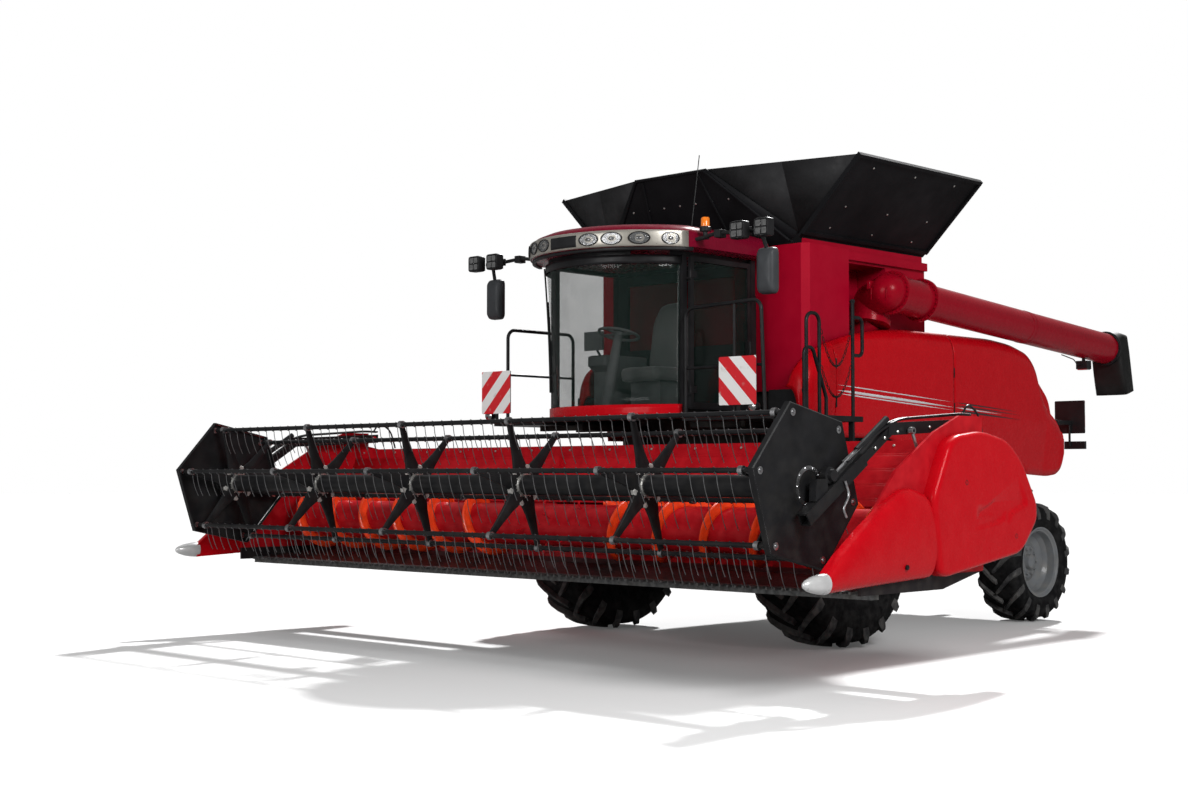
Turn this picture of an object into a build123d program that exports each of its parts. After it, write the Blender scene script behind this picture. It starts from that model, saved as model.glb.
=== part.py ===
from build123d import *
import math
import os

# Combine harvester with its grain header raised for the road.
# Millimetres. The machine faces -Y, its left-hand side is +X and Z is up from the ground.
# Lengthwise places are measured from the front axle; save() moves them so that the
# origin lies on the ground under the middle of the whole machine.

# ---------------------------------------------------------------- driving sizes
TIP_REACH = 3700.0          # front axle to the divider tips
REAR_REACH = 5600.0         # front axle to the rear lip of the unloading spout

WHEELBASE = 3770.0
FRONT_TRACK = 2900.0
REAR_TRACK = 2560.0
# name: diameter, width, rim seat radius, lug pairs, lug height, lug length, lug width
TYRES = {
    "front": dict(d=1800.0, w=650.0, seat=405.0, pairs=18, lug_h=46.0, lug_l=390.0, lug_w=52.0),
    "rear": dict(d=1300.0, w=490.0, seat=355.0, pairs=16, lug_h=38.0, lug_l=295.0, lug_w=42.0),
}
TYRE_SIDES = 36             # flats round a tyre's carcass
# inner and outer end of the hub, and the disc, from the wheel's middle along the axle
WHEEL_HUBS = {
    "front": dict(hub_in=-300.0, hub_out=60.0, disc_x=40.0),
    "rear": dict(hub_in=-120.0, hub_out=70.0, disc_x=50.0),
}
SEAT_GAP = 0.5              # tyre bore to rim
SPINDLE_R = 70.0
SPINDLE_GAP = 0.5
PIN_GAP = 0.5               # a pin to its eye
SEAT = 0.3                  # a piece to the one that carries it
EYE_DRIFT = 4.0             # play of a cylinder's upper pin in its eye

RAIL_X = (640.0, 760.0)     # inner and outer face of the frame's rails
RAIL_Z = (1200.0, 1400.0)
CAB_RAIL_X = (700.0, 800.0)
KINGPIN_INSET = 330.0       # wheel centre to kingpin, along the axle
KINGPIN_R = 40.0
AXLE_HALF = 60.0            # half depth of the rear axle's beam, clear of the steering arms
STEER_ARM = 260.0           # kingpin to the end of a steering arm
OSCILLATE_R = 35.0          # pin the rear axle rocks on
OSCILLATE_UP = 250.0        # that pin above the rear wheels' centres
HITCH_Y = WHEELBASE + 710.0
HITCH_Z = 760.0
HITCH_R = 16.0

TANK_HALF = 1250.0
TANK_FRONT = -240.0
TANK_REAR = 1900.0
TANK_FLOOR = 2400.0
TANK_RIM = 3790.0
TANK_WALL = 30.0
PILLAR_HALF = TANK_HALF + 100.0  # the tank is wider over its front pillars
PILLAR_REAR = 470.0

SEPARATOR_REAR = WHEELBASE - 480.0
DECK_REAR_Z = 2200.0        # top of the separator behind the tank
BODY_HALF = TANK_HALF + 250.0    # outer face of the side panels
PANEL_T = 35.0
PANEL_TOP = (TANK_HALF + 80.0, 3050.0)     # x, z of the side panels' top edge
SEAM_FRONT = 10.0           # front edge of the front side panels
SEAM_MID = 2030.0           # gap between front and rear side panels
SEAM_GAP = 14.0
# side panel section: x and z of the outer face, x and z of the inner face
PANEL_SECTION = [
    (PANEL_TOP[0], PANEL_TOP[1], PANEL_TOP[0], PANEL_TOP[1] - PANEL_T),
    (PANEL_TOP[0] + 90, PANEL_TOP[1] - 28, PANEL_TOP[0] + 76, PANEL_TOP[1] - 60),
    (BODY_HALF - 20, PANEL_TOP[1] - 120, BODY_HALF - 52, PANEL_TOP[1] - 134),
    (BODY_HALF, PANEL_TOP[1] - 250, BODY_HALF - PANEL_T, PANEL_TOP[1] - 255),
    (BODY_HALF + 4, 2230, BODY_HALF - PANEL_T + 4, 2236),
    (BODY_HALF - 74, 1560, BODY_HALF - PANEL_T - 76, 1560),
]
# upper edge of the side sheets: y, z
TOP_LINE = [
    (-450, 2420), (-405, 2610), (-320, 2700), (-180, 2770), (SEAM_FRONT, 2850), (420, 2960),
    (900, 3030), (1300, PANEL_TOP[1]),
]
PANEL_PIN_R = 8.0           # hinge barrels on a side panel's front edge
PANEL_PIN_Z = ((2240.0, 2340.0), (2600.0, 2700.0))
BAY_REAR = WHEELBASE - 370.0     # engine bay's rear wall
HOOD_HALF = TANK_HALF - 10.0     # straw hood
HOOD_FOOT = 1760.0
TAIL_Y = WHEELBASE + 1120.0      # striped boards at the tail

COVER_T = 24.0
COVER_W = 1000.0            # hinge to free edge of a side cover
COVER_OPEN = 45.0           # side cover's lean outward from the vertical
END_COVER_H = 850.0
END_COVER_OPEN = 30.0       # front and rear covers' lean outward from the vertical
END_COVER_TOP = 450.0       # half width of an end cover at its free edge
COVER_STEP = 60.0           # side cover hinges above the tank rim
COVER_PIN_R = 14.0
COVER_INSET = (80.0, 40.0)  # a side cover's hinge from the tank's front and rear

DECK_Z = (2090.0, 2140.0)
CAB_HALF = 860.0
CAB_FLOOR = 2150.0
CAB_TOP = 3640.0
CAB_FRONT = -1400.0         # front posts
CAB_REAR = -440.0
ROOF_HALF = 1010.0
ROOF_NOSE = -2090.0         # front of the roof in the middle
ROOF_H = (190.0, 265.0)     # the roof's brow and crown above the cab's frame
BEACON = (1080.0, -1375.0)  # x, y
WHIP = ((500.0, -900.0), (500.0, -780.0, 4650.0), 4.0)   # foot's x and y, tip, radius
GLASS_T = 10.0
# corner of a post: x, y, width, depth
POSTS = [(CAB_HALF - 35, CAB_FRONT, 60, 60), (CAB_HALF + 5, CAB_REAR - 30, 70, 60)]
WINDSCREEN = dict(low=-1740.0, high=-1960.0)   # y of the screen's middle at its foot and its top
DOOR_HINGE = (CAB_HALF + 46.0, CAB_FRONT + 20.0)     # x, y
DOOR_HINGE_Z = (2350.0, 3400.0)
DOOR_PIN_R = 5.0
WORK_LAMP = 160.0           # side of a square work lamp
WORK_LAMP_X = (1510.0, 1780.0)   # inner side of the two on each mirror arm
RAIL_R = 17.0               # hand rail tube
LADDER_HINGE = (1885.0, 1020.0)   # x, z
LADDER_PIN_R = 14.0

SPOUT_TUBE_R = 175.0        # unloading tube
ELBOW_R = 185.0
COLUMN_R = 110.0
COLUMN_KNEE = (TANK_HALF - 115.0, 900.0, 2960.0)
SWING_AT = (TANK_HALF - 10.0, 940.0, 3115.0)   # middle of the ring the tube swings on
SWING_AXIS = Vector(-0.02, 0.262, 1.0).normalized()
SWING_GAP = 0.5
ELBOW = (TANK_HALF + 260.0, 880.0, 3392.0)
# inner x, front y, rear y and top of the tank recess that the elbow turns in
RECESS = (TANK_HALF - 345.0, 480.0, 1200.0, 3675.0)
TUBE_END_Y = REAR_REACH - 320.0
TUBE_FALL = 4.2             # degrees the stowed tube falls to the rear
TUBE_WIDE = 560.0           # length of the wide first stretch, between its two flanges
BOOT_HALF = 200.0           # rubber spout
BOOT_WALL = 22.0

LIFT_PIVOT = (-265.0, 1800.0)    # y, z of the feeder house pivot
LIFT_X = 400.0
LIFT_BASE = (330.0, 640.0)      # y, z of the lift cylinders' lower pins
LIFT_EYE = (-1180.0, 800.0)     # y, z of the eyes on the feeder house
LIFT_PIN_R = 20.0
PIVOT_R = 30.0
PIVOT_EYE_R = 58.0          # clear of the separator at every height of the header
FEEDER_HALF = 560.0
HEADER_HALF = 3850.0        # inner face of the header's end sheets
END_T = 25.0                # end sheets
HEADER_WIDE = HEADER_HALF + 135.0    # outermost face of the header
# trough sheet: y and z from the top of the back wall to the cutterbar
TROUGH = [
    (-1480, 1790), (-1590, 1500), (-1720, 1180), (-1870, 930), (-2080, 815), (-2350, 795), (-2740, 760),
]
SHEET_T = 20.0
AUGER_AXIS = (-2200.0, 1150.0)
AUGER_R = 300.0             # flighting
AUGER_DRUM_R = 190.0
AUGER_PITCH = 520.0
STUB_R = 40.0               # auger end stubs
GUARD_TIP_Y = -2900.0
GUARD_Z = (740.0, 760.0)
GUARD_PITCH = 76.2

REEL_AXIS = (-3260.0, 1520.0)
REEL_R = 555.0
REEL_TURN = 12.0            # degrees from level of the foremost bar
REEL_TUBE_R = 85.0
REEL_SHIELD = 1.14          # an end shield's corners, as a share of the bars' radius
REEL_HALF = HEADER_HALF - 250.0      # half length of a tine bar
SHIELD_X = REEL_HALF + 40.0
SPIDERS = 6
SPIDER_INSET = 120.0        # end of a tine bar to the outer spider
BARS = 6
BAR_R = 20.0
TINE_PITCH = 125.0
TINE_DROP = 240.0
TINE_BACK = 70.0
ARM_PIVOT = (-1360.0, 2000.0)
ARM_BEND = (-2390.0, 1940.0)
ARM_X = (HEADER_HALF - 150.0, HEADER_HALF - 80.0)
ARM_PIN_R = 24.0
SLIDE_BAR = (60.0, 70.0)    # the arms' front bars, wide and high
SLEEVE = (86.0, 96.0)       # the sleeves that slide on them
REEL_STUB_R = 28.0
REEL_CYL_X = HEADER_HALF - 39.0
REEL_CYL_BASE = (-1900.0, 1350.0)
REEL_CYL_EYE = (-2200.0, 1935.0)
ARM_SLOPE = 32.0            # degrees the reel slide falls to the front
FRONT_REACH = REEL_SHIELD * REEL_R * math.cos(math.radians(REEL_TURN)) - REEL_AXIS[0]
SHIFT_Y = (FRONT_REACH - REAR_REACH) / 2

# name: x, lower pin, upper pin, barrel radius, rod radius, barrel's share of the length, rod foot,
# half width of the eyes, lower and upper pin radius
CYLINDERS = {
    "lift": dict(x=LIFT_X, base=LIFT_BASE, eye=LIFT_EYE, bore=48, ram=28, share=0.62, foot=330,
                 half=34, low_pin=LIFT_PIN_R, high_pin=14.0),
    "reel_lift": dict(x=REEL_CYL_X, base=REEL_CYL_BASE, eye=REEL_CYL_EYE, bore=24, ram=13, share=0.7,
                      foot=90, half=20, low_pin=14.0, high_pin=10.0),
}


# ---------------------------------------------------------------- helpers
def block(x0, x1, y0, y1, z0, z1):
    """A box between two corners."""
    return Pos((x0 + x1) / 2, (y0 + y1) / 2, (z0 + z1) / 2) * Box(
        abs(x1 - x0), abs(y1 - y0), abs(z1 - z0)
    )


def side_slab(outline, x0, x1):
    """An outline of (y, z) points carried from x0 to x1."""
    plane = Plane(origin=(x0, 0, 0), x_dir=(0, 1, 0), z_dir=(1, 0, 0))
    return extrude(plane * make_face(Polyline(*outline, close=True)), x1 - x0)


def cross_slab(outline, y0, y1):
    """An outline of (x, z) points carried from y0 to y1."""
    plane = Plane(origin=(0, y1, 0), x_dir=(1, 0, 0), z_dir=(0, -1, 0))
    return extrude(plane * make_face(Polyline(*outline, close=True)), y1 - y0)


def plan_slab(outline, z0, z1):
    """An outline of (x, y) points carried from z0 to z1."""
    return extrude(Pos(0, 0, z0) * make_face(Polyline(*outline, close=True)), z1 - z0)


def rod(start, end, radius):
    """A round bar between two points."""
    run = Vector(*end) - Vector(*start)
    low = (Align.CENTER, Align.CENTER, Align.MIN)
    return Plane(origin=start, z_dir=run) * Cylinder(radius, run.length, align=low)


def rail(points, radius, bend=60.0):
    """A round tube bent along a line of points."""
    path = FilletPolyline(*points, radius=bend) if len(points) > 2 else Line(*points)
    ring = Plane(origin=path @ 0, z_dir=path % 0) * Circle(radius)
    return sweep(ring, path=path)


def beam(start, end, width, height):
    """A square bar in a lengthwise plane, from (x, y, z) to (x, y, z)."""
    run = Vector(*end) - Vector(*start)
    low = (Align.CENTER, Align.CENTER, Align.MIN)
    return Plane(origin=start, x_dir=(1, 0, 0), z_dir=run) * Box(
        width, height, run.length, align=low
    )


def mirrored(shape):
    """The same shape on the machine's other side."""
    return mirror(shape, about=Plane.YZ)


def both(shape):
    """A shape and its mirror image as one piece or two."""
    return shape + mirrored(shape)


def save(name, *shapes):
    """Writes one node, moved to the machine's origin."""
    solids = [s for shape in shapes for s in shape.solids()]
    moved = Pos(0, SHIFT_Y, 0) * Compound(children=solids)
    export_step(moved, f"parts/{name}.step")


# ---------------------------------------------------------------- wheels
def tyre(d, w, seat, pairs, lug_h, lug_l, lug_w):
    """A lugged tyre about the X axis: a faceted carcass with slanting bars up to its full size."""
    crown = d / 2 - lug_h
    # across the width: share of half width, radius
    half = [(0.80, seat + 22), (1.00, (seat + crown) / 2), (0.95, crown - 70), (0.72, crown)]
    steps = [(-s, r) for s, r in half] + [(s, r) for s, r in reversed(half)]
    wide = w / 2 - 2
    rings = [
        Plane(origin=(s * wide, 0, 0), x_dir=(0, 1, 0), z_dir=(1, 0, 0))
        * RegularPolygon(r, TYRE_SIDES)
        for s, r in steps
    ]
    carcass = loft(rings, ruled=True)
    bore = (seat + SEAT_GAP) / math.cos(math.pi / TYRE_SIDES)
    plane = Plane(origin=(-w, 0, 0), x_dir=(0, 1, 0), z_dir=(1, 0, 0))
    carcass -= extrude(plane * RegularPolygon(bore, TYRE_SIDES), 2 * w)
    lugs = []
    for i in range(2 * pairs):
        side = 1 if i % 2 else -1
        lug = Pos(side * (w / 4 + 6), 0, d / 2 - 24) * Rot(0, 0, side * 45) * Box(lug_l, lug_w, 120)
        lugs.append(Rot(i * 180 / pairs + 180, 0, 0) * lug)
    tread = Compound(children=lugs) & Rot(0, 90, 0) * Cylinder(d / 2, w)
    return carcass + tread.solids()


def rim(d, w, seat, spindle, hub_in, hub_out, disc_x, **_):
    """A wheel: barrel, two flanges, a dished disc and its hub, about the X axis, outer side at +X."""
    across = Rot(0, 90, 0)
    edge = 0.4 * w + 4
    barrel = across * (Cylinder(seat, 2 * edge + 30) - Cylinder(seat - 14, 2 * edge + 30))
    flanges = [
        Pos(s * (edge + 7.5), 0, 0) * across * (Cylinder(seat + 30, 15) - Cylinder(seat - 1, 15))
        for s in (-1, 1)
    ]
    disc = Pos(disc_x, 0, 0) * across * Cylinder(seat - 5, 22)
    hub = Pos((hub_in + hub_out) / 2, 0, 0) * across * Cylinder(190, hub_out - hub_in)
    wheel = barrel + flanges[0] + flanges[1] + disc + hub
    bore = (hub_in - 1 + disc_x - 12) / 2
    wheel -= Pos(bore, 0, 0) * across * Cylinder(spindle + SPINDLE_GAP, disc_x - hub_in - 10)
    for i in range(8):
        turn = Rot(i * 45, 0, 0) * Pos(disc_x, 0, 0.72 * seat) * across
        wheel -= turn * Cylinder(38, 60)
    return wheel


def wheels():
    """Four tyres and four rims."""
    for end, y, track in (("front", 0.0, FRONT_TRACK), ("rear", WHEELBASE, REAR_TRACK)):
        size = TYRES[end]
        rubber = tyre(**size)
        steel = rim(**size, spindle=SPINDLE_R, **WHEEL_HUBS[end])
        place = Pos(track / 2, y, size["d"] / 2)
        for side, name in ((1, "left"), (-1, "right")):
            for part, label in ((place * rubber, "tyre"), (place * steel, "rim")):
                save(f"{end}_{label}_{name}", part if side > 0 else mirrored(part))


# ---------------------------------------------------------------- chassis
def front_axle():
    """Drive axle: tube, gearbox, final drives, spindles and the feet that carry the frame."""
    z = TYRES["front"]["d"] / 2
    end = FRONT_TRACK / 2 + WHEEL_HUBS["front"]["hub_in"]
    axle = rod((-end + 60, 0, z), (end - 60, 0, z), 125)
    axle += block(-230, 230, -200, 260, z - 190, z + 190)
    drive = block(end - 190, end - 6, -190, 190, z - 200, z + 230)
    reach = FRONT_TRACK / 2 + WHEEL_HUBS["front"]["disc_x"] - 20
    drive += rod((end - 20, 0, z), (reach, 0, z), SPINDLE_R)
    foot = block(RAIL_X[0] + 5, RAIL_X[1] - 5, -160, 160, z, RAIL_Z[0])
    save("front_axle", axle + both(drive) + both(foot))


def rear_axle():
    """Steering axle beam on its centre pivot, with a fork end for each knuckle."""
    z = TYRES["rear"]["d"] / 2
    king = REAR_TRACK / 2 - KINGPIN_INSET
    y0, y1 = WHEELBASE - AXLE_HALF, WHEELBASE + AXLE_HALF
    axle = block(-king + 70, king - 70, y0, y1, z - 90, z + 90)
    ears = block(king - 90, king + 50, WHEELBASE - 70, WHEELBASE + 70, z + 96, z + 140)
    ears += block(king - 90, king + 50, WHEELBASE - 70, WHEELBASE + 70, z - 140, z - 96)
    web = block(king - 130, king - 70, y0, y1, z - 140, z + 140)
    fork = ears + web - rod((king, WHEELBASE, z - 200), (king, WHEELBASE, z + 200), KINGPIN_R + 0.5)
    tower = side_slab(
        [(y0, z + 80), (y1, z + 80), (WHEELBASE + 50, z + 330), (WHEELBASE - 50, z + 330)],
        -110, 110,
    )
    pin_z = z + OSCILLATE_UP
    pin = rod((0, WHEELBASE - 200, pin_z), (0, WHEELBASE + 115, pin_z), OSCILLATE_R)
    save("rear_axle", axle + both(fork) + tower + pin)


def knuckles():
    """The pieces that carry the rear wheels and turn on the kingpins."""
    z = TYRES["rear"]["d"] / 2
    king = REAR_TRACK / 2 - KINGPIN_INSET
    reach = REAR_TRACK / 2 + WHEEL_HUBS["rear"]["disc_x"] - 20
    body = rod((king, WHEELBASE, z - 92), (king, WHEELBASE, z + 92), 62)
    body += rod((king, WHEELBASE, z - 170), (king, WHEELBASE, z + 170), KINGPIN_R)
    body += rod((king, WHEELBASE, z), (reach, WHEELBASE, z), SPINDLE_R)
    body += block(king - 16, king + 16, WHEELBASE + 40, WHEELBASE + STEER_ARM, z - 30, z + 30)
    save("knuckle_left", body)
    save("knuckle_right", mirrored(body))


def main_frame():
    """Two long rails with their ties, cab and deck carriers, feeder pivots and the rear axle hanger."""
    frame = both(block(*RAIL_X, -320, WHEELBASE + 130, *RAIL_Z))
    py, pz = LIFT_PIVOT
    carrier = block(*RAIL_X, -320, -210, RAIL_Z[0], CAB_FLOOR - 90)
    carrier += block(*CAB_RAIL_X, -1150, -210, CAB_FLOOR - 110, CAB_FLOOR - 50)
    carrier += rod((FEEDER_HALF - 16, py, pz), (RAIL_X[0] + 5, py, pz), PIVOT_R)
    for y in (-1120.0, -610.0):
        carrier += block(CAB_RAIL_X[0] + 5, 1300, y - 30, y + 30, CAB_FLOOR - 110, DECK_Z[0])
    frame += both(carrier)
    for y in (SEPARATOR_REAR - 230, WHEELBASE + 70):
        frame += block(-RAIL_X[0] - 10, RAIL_X[0] + 10, y - 50, y + 50, RAIL_Z[0] + 10, RAIL_Z[1] - 10)
    z = TYRES["rear"]["d"] / 2 + OSCILLATE_UP
    for y0, y1 in ((-210, -80), (80, 120)):
        frame += block(-220, 220, WHEELBASE + y0, WHEELBASE + y1, z - 50, RAIL_Z[1] - 20)
    frame += block(-220, 220, WHEELBASE - 210, WHEELBASE + 120, RAIL_Z[0] + 20, RAIL_Z[1] - 20)
    frame -= rod((0, WHEELBASE - 300, z), (0, WHEELBASE + 300, z), OSCILLATE_R + PIN_GAP)
    y, z = LIFT_BASE
    lug = block(LIFT_X - 60, LIFT_X + 60, y - 45, y + 200, z - 45, z + 60)
    lug -= block(LIFT_X - 36, LIFT_X + 36, y - 46, y + 80, z - 46, z + 61)
    lug += rod((LIFT_X - 60, y, z), (LIFT_X + 60, y, z), LIFT_PIN_R)
    hanger = [(y + 140, z - 40), (y + 230, z - 40), (y + 260, RAIL_Z[1] - 60), (y + 180, RAIL_Z[1] - 60)]
    lug += side_slab(hanger, LIFT_X - 60, LIFT_X + 60)
    frame += both(lug)
    frame += block(-RAIL_X[0] - 10, RAIL_X[0] + 10, y + 180, y + 260, RAIL_Z[0] + 10, RAIL_Z[1] - 20)
    save("main_frame", frame)


def rear_hitch():
    """Drawbar behind the rear axle with a forked jaw and its pin holes."""
    bar = block(-60, 60, WHEELBASE + 120, HITCH_Y - 60, HITCH_Z - 90, HITCH_Z + 120)
    bar += block(-60, 60, HITCH_Y - 90, HITCH_Y - 55, HITCH_Z - 90, HITCH_Z + 90)
    for z in (HITCH_Z - 50, HITCH_Z + 50):
        bar += block(-60, 60, HITCH_Y - 70, HITCH_Y + 45, z - 15, z + 15)
    bar += block(-60, 60, WHEELBASE + 120, WHEELBASE + 200, HITCH_Z - 90, RAIL_Z[0] + 60)
    save("rear_hitch", bar - rod((0, HITCH_Y, HITCH_Z - 100), (0, HITCH_Y, HITCH_Z + 100), HITCH_R))


def separator_body():
    """The threshing and cleaning unit between the wheels, closed all round, with stays for the panels."""
    upper = side_slab(
        [(-200, RAIL_Z[1]), (-200, TANK_FLOOR), (TANK_REAR + 20, TANK_FLOOR), (TANK_REAR + 20, DECK_REAR_Z),
         (SEPARATOR_REAR, DECK_REAR_Z), (SEPARATOR_REAR, RAIL_Z[1])],
        -1050, 1050,
    )
    rear = SEPARATOR_REAR - 390
    shoe = side_slab(
        [(640, RAIL_Z[1] + 2), (640, 1020), (760, 950), (rear - 400, 950), (rear, 1180),
         (rear, RAIL_Z[1] + 2)],
        -600, 600,
    )
    stay = block(1045, BODY_HALF - 31.8, 60, 90, 2270, 2300)
    stay += block(1045, BODY_HALF - 31.8, 1860, 1890, 2270, 2300)
    stay += block(1045, BODY_HALF - 45.5, 2100, 2130, 2115, 2125)
    save("separator_body", upper + shoe + both(stay))


def engine_block():
    """The engine as one plain mass."""
    save("engine_block", block(-480, 480, TANK_REAR + 180, BAY_REAR - 280, DECK_REAR_Z + 30, 2880))


# ---------------------------------------------------------------- sheet metal
def panel_band(outline):
    """The curved side skin, trimmed to a side outline of (y, z) points."""
    ys = [p[0] for p in outline]
    outer = [(p[0], p[1]) for p in PANEL_SECTION]
    inner = [(p[2], p[3]) for p in reversed(PANEL_SECTION)]
    skin = cross_slab(outer + inner, min(ys) - 10, max(ys) + 10)
    return skin & side_slab(outline, PANEL_TOP[0] - 50, BODY_HALF + 100)


def side_panels():
    """Four side panels, each hung on its front edge."""
    top = PANEL_TOP[1]
    rear = SEAM_MID + SEAM_GAP
    front_outline = [(SEAM_FRONT, 1960), (SEAM_FRONT, 2856)]
    front_outline += [p for p in TOP_LINE if p[0] > SEAM_FRONT + 1]
    front_outline += [(SEAM_MID, top), (SEAM_MID, 1640), (1480, 1640), (1010, 1960)]
    w = WHEELBASE
    rear_outline = [
        (rear, 1640), (rear, top), (w - 870, top), (w - 170, 2950), (w - 70, 2900), (w - 10, 2700),
        (w + 110, 2450), (w + 410, 2260), (w + 510, 2120), (w + 505, 1720), (w + 410, 1620), (w + 210, 1590),
        (w - 210, 1600), (w - 390, 1740), (w - 770, 1740), (w - 910, 1640),
    ]
    for name, outline, y in (("front", front_outline, SEAM_FRONT), ("rear", rear_outline, rear)):
        panel = panel_band(outline)
        for z0, z1 in PANEL_PIN_Z:
            panel += rod((BODY_HALF + 6, y, z0), (BODY_HALF + 6, y, z1), PANEL_PIN_R)
        save(f"side_panel_left_{name}", panel)
        save(f"side_panel_right_{name}", mirrored(panel))


def body_shell():
    """Fixed sheet metal: corner fenders, engine bay walls and deck, and the straw hood at the rear."""
    edge = SEAM_FRONT - SEAM_GAP
    fender_line = [(-450, DECK_Z[1])] + [p for p in TOP_LINE if p[0] < SEAM_FRONT]
    fender = panel_band(fender_line + [(edge, 2846), (edge, DECK_Z[1])])
    fender += block(1055, BODY_HALF - 20, -440, -400, DECK_Z[1], 2400)
    fender += block(1050, BODY_HALF - 20, edge - 40, edge, DECK_Z[1], 2290)
    y0, y1 = TANK_REAR + 25, BAY_REAR
    half = TANK_HALF - 70
    bay = block(-half, half, y0, y1, DECK_REAR_Z, 2960)
    bay -= block(-half + 30, half - 30, y0 + 30, y1 - 30, DECK_REAR_Z + 30, 2930)
    w = WHEELBASE
    hood_out = [(y1, 2960), (w + 130, 2900), (w + 650, 2460), (w + 790, 2050), (w + 750, HOOD_FOOT),
                (y1, HOOD_FOOT)]
    hood_in = [(y1 + 30, 2930), (w + 115, 2872), (w + 625, 2445), (w + 760, 2045), (w + 725, 1700),
               (y1 + 30, 1700)]
    hood = side_slab(hood_out, -HOOD_HALF, HOOD_HALF) - side_slab(hood_in, -HOOD_HALF + 30, HOOD_HALF - 30)
    strip = block(half + 10, PANEL_TOP[0] - 8, y0 + 5, y1, 2990, 3020)
    strip += block(half - 30, half + 20, y0 + 5, y1, 2940, 3020)
    stay = block(HOOD_HALF - 5, BODY_HALF - 31.8, w + 90, w + 120, 2270, 2300)
    save("body_shell", both(fender), bay + hood + both(strip) + both(stay))


def straw_chopper():
    """Chopper box under the straw hood and its tailboard with fins."""
    w = WHEELBASE
    box = side_slab([(w - 210, 1750), (w + 710, 1750), (w + 670, 1400), (w + 330, 1390), (w - 130, 1500)],
                    -700, 700)
    tail = side_slab([(w + 720, 1600), (w + 750, 1640), (w + 1130, 1420), (w + 1110, 1380)], -760, 760)
    fin = [(w + 730, 1606), (w + 1110, 1386), (w + 1090, 1300), (w + 750, 1480)]
    for i in range(9):
        x = -700 + i * 175
        tail += side_slab(fin, x - 5, x + 5)
    tail += both(block(560, 640, w + 630, w + 750, 1500, 1640))
    box += block(-HOOD_HALF, HOOD_HALF, w - 70, w - 10, 1690, HOOD_FOOT)
    save("straw_chopper", box + tail)


# ---------------------------------------------------------------- grain tank
def grain_tank():
    """Open-topped hopper with wide front pillars; its floor slopes in to the cross augers."""
    outer = block(-TANK_HALF, TANK_HALF, TANK_FRONT, TANK_REAR, TANK_FLOOR, TANK_RIM)
    pillar = plan_slab(
        [(TANK_HALF - 5, TANK_FRONT), (PILLAR_HALF - 60, TANK_FRONT), (PILLAR_HALF, TANK_FRONT + 60),
         (PILLAR_HALF - 20, PILLAR_REAR), (TANK_HALF - 5, PILLAR_REAR)],
        2300, TANK_RIM,
    )
    inner = block(
        -TANK_HALF + TANK_WALL, TANK_HALF - TANK_WALL, TANK_FRONT + TANK_WALL, TANK_REAR - TANK_WALL,
        3080, TANK_RIM + 10,
    )
    top = Pos(0, (TANK_FRONT + TANK_REAR) / 2, 3085) * Rectangle(
        2 * (TANK_HALF - TANK_WALL), TANK_REAR - TANK_FRONT - 2 * TANK_WALL)
    low = Pos(0, (TANK_FRONT + TANK_REAR) / 2, TANK_FLOOR + 60) * Rectangle(900, 1400)
    hopper = loft([low, top], ruled=True)
    tank = outer + both(pillar) - inner - hopper
    lip = block(TANK_HALF - 5, TANK_HALF + 40, PILLAR_REAR - 5, TANK_REAR, TANK_RIM - 90, TANK_RIM - 10)
    tank += both(lip)
    x0, y0, y1, top = RECESS
    tank += block(x0 - TANK_WALL, TANK_HALF - 1, y0 - TANK_WALL, y1 + TANK_WALL, TANK_FLOOR, top + TANK_WALL)
    tank -= block(x0, TANK_HALF + 1, y0, y1, TANK_FLOOR - 1, top)
    (hx, hz), _ = side_cover_points()
    front, rear = TANK_FRONT + COVER_INSET[0], TANK_REAR - COVER_INSET[1]
    cradle = block(TANK_HALF - 9, TANK_HALF - 1, front, rear, TANK_RIM - 5, hz)
    cradle -= rod((hx, front - 1, hz), (hx, rear + 1, hz), COVER_PIN_R + SEAT)
    tank += both(cradle)
    tank += rod((0, 830, TANK_FLOOR + 50), (0, 830, TANK_RIM - 190), 160)
    save("grain_tank", tank)


def side_cover_points():
    """Hinge x and z, and free edge x and z, of the open left side cover."""
    lean = math.radians(COVER_OPEN)
    x, z = TANK_HALF - 15, TANK_RIM + COVER_STEP
    return (x, z), (x + COVER_W * math.sin(lean), z + COVER_W * math.cos(lean))


def tank_covers():
    """Four folding covers, open: two broad side ones and two narrowing end ones."""
    (hx, hz), (fx, fz) = side_cover_points()
    lean = math.radians(COVER_OPEN)
    nx, nz = -math.cos(lean) * COVER_T, math.sin(lean) * COVER_T
    y0, y1 = TANK_FRONT + COVER_INSET[0], TANK_REAR - COVER_INSET[1]
    section = [(hx, hz), (fx, fz), (fx + nx, fz + nz), (hx + nx, hz + nz)]
    leaf = cross_slab(section, TANK_FRONT + 40, TANK_REAR)
    leaf += rod((hx, y0, hz), (hx, y1, hz), COVER_PIN_R)
    save("tank_cover_left", leaf)
    save("tank_cover_right", mirrored(leaf))
    tilt = math.radians(END_COVER_OPEN)
    wide = TANK_HALF - 60
    for name, y, way in (("front", TANK_FRONT + 20, -1), ("rear", TANK_REAR - 20, 1)):
        root = Vector(0, y, TANK_RIM + COVER_PIN_R + SEAT)
        rise = Vector(0, way * math.sin(tilt), math.cos(tilt)) * END_COVER_H
        side = Vector(1, 0, 0)
        corners = [root - side * wide, root + side * wide, root + rise + side * END_COVER_TOP,
                   root + rise - side * END_COVER_TOP]
        face = make_face(Polyline(*corners, close=True))
        leaf = extrude(face, COVER_T / 2, dir=rise.cross(side).normalized(), both=True)
        pin = rod((-wide, root.Y, root.Z), (wide, root.Y, root.Z), COVER_PIN_R)
        save(f"tank_cover_{name}", leaf + pin)


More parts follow.
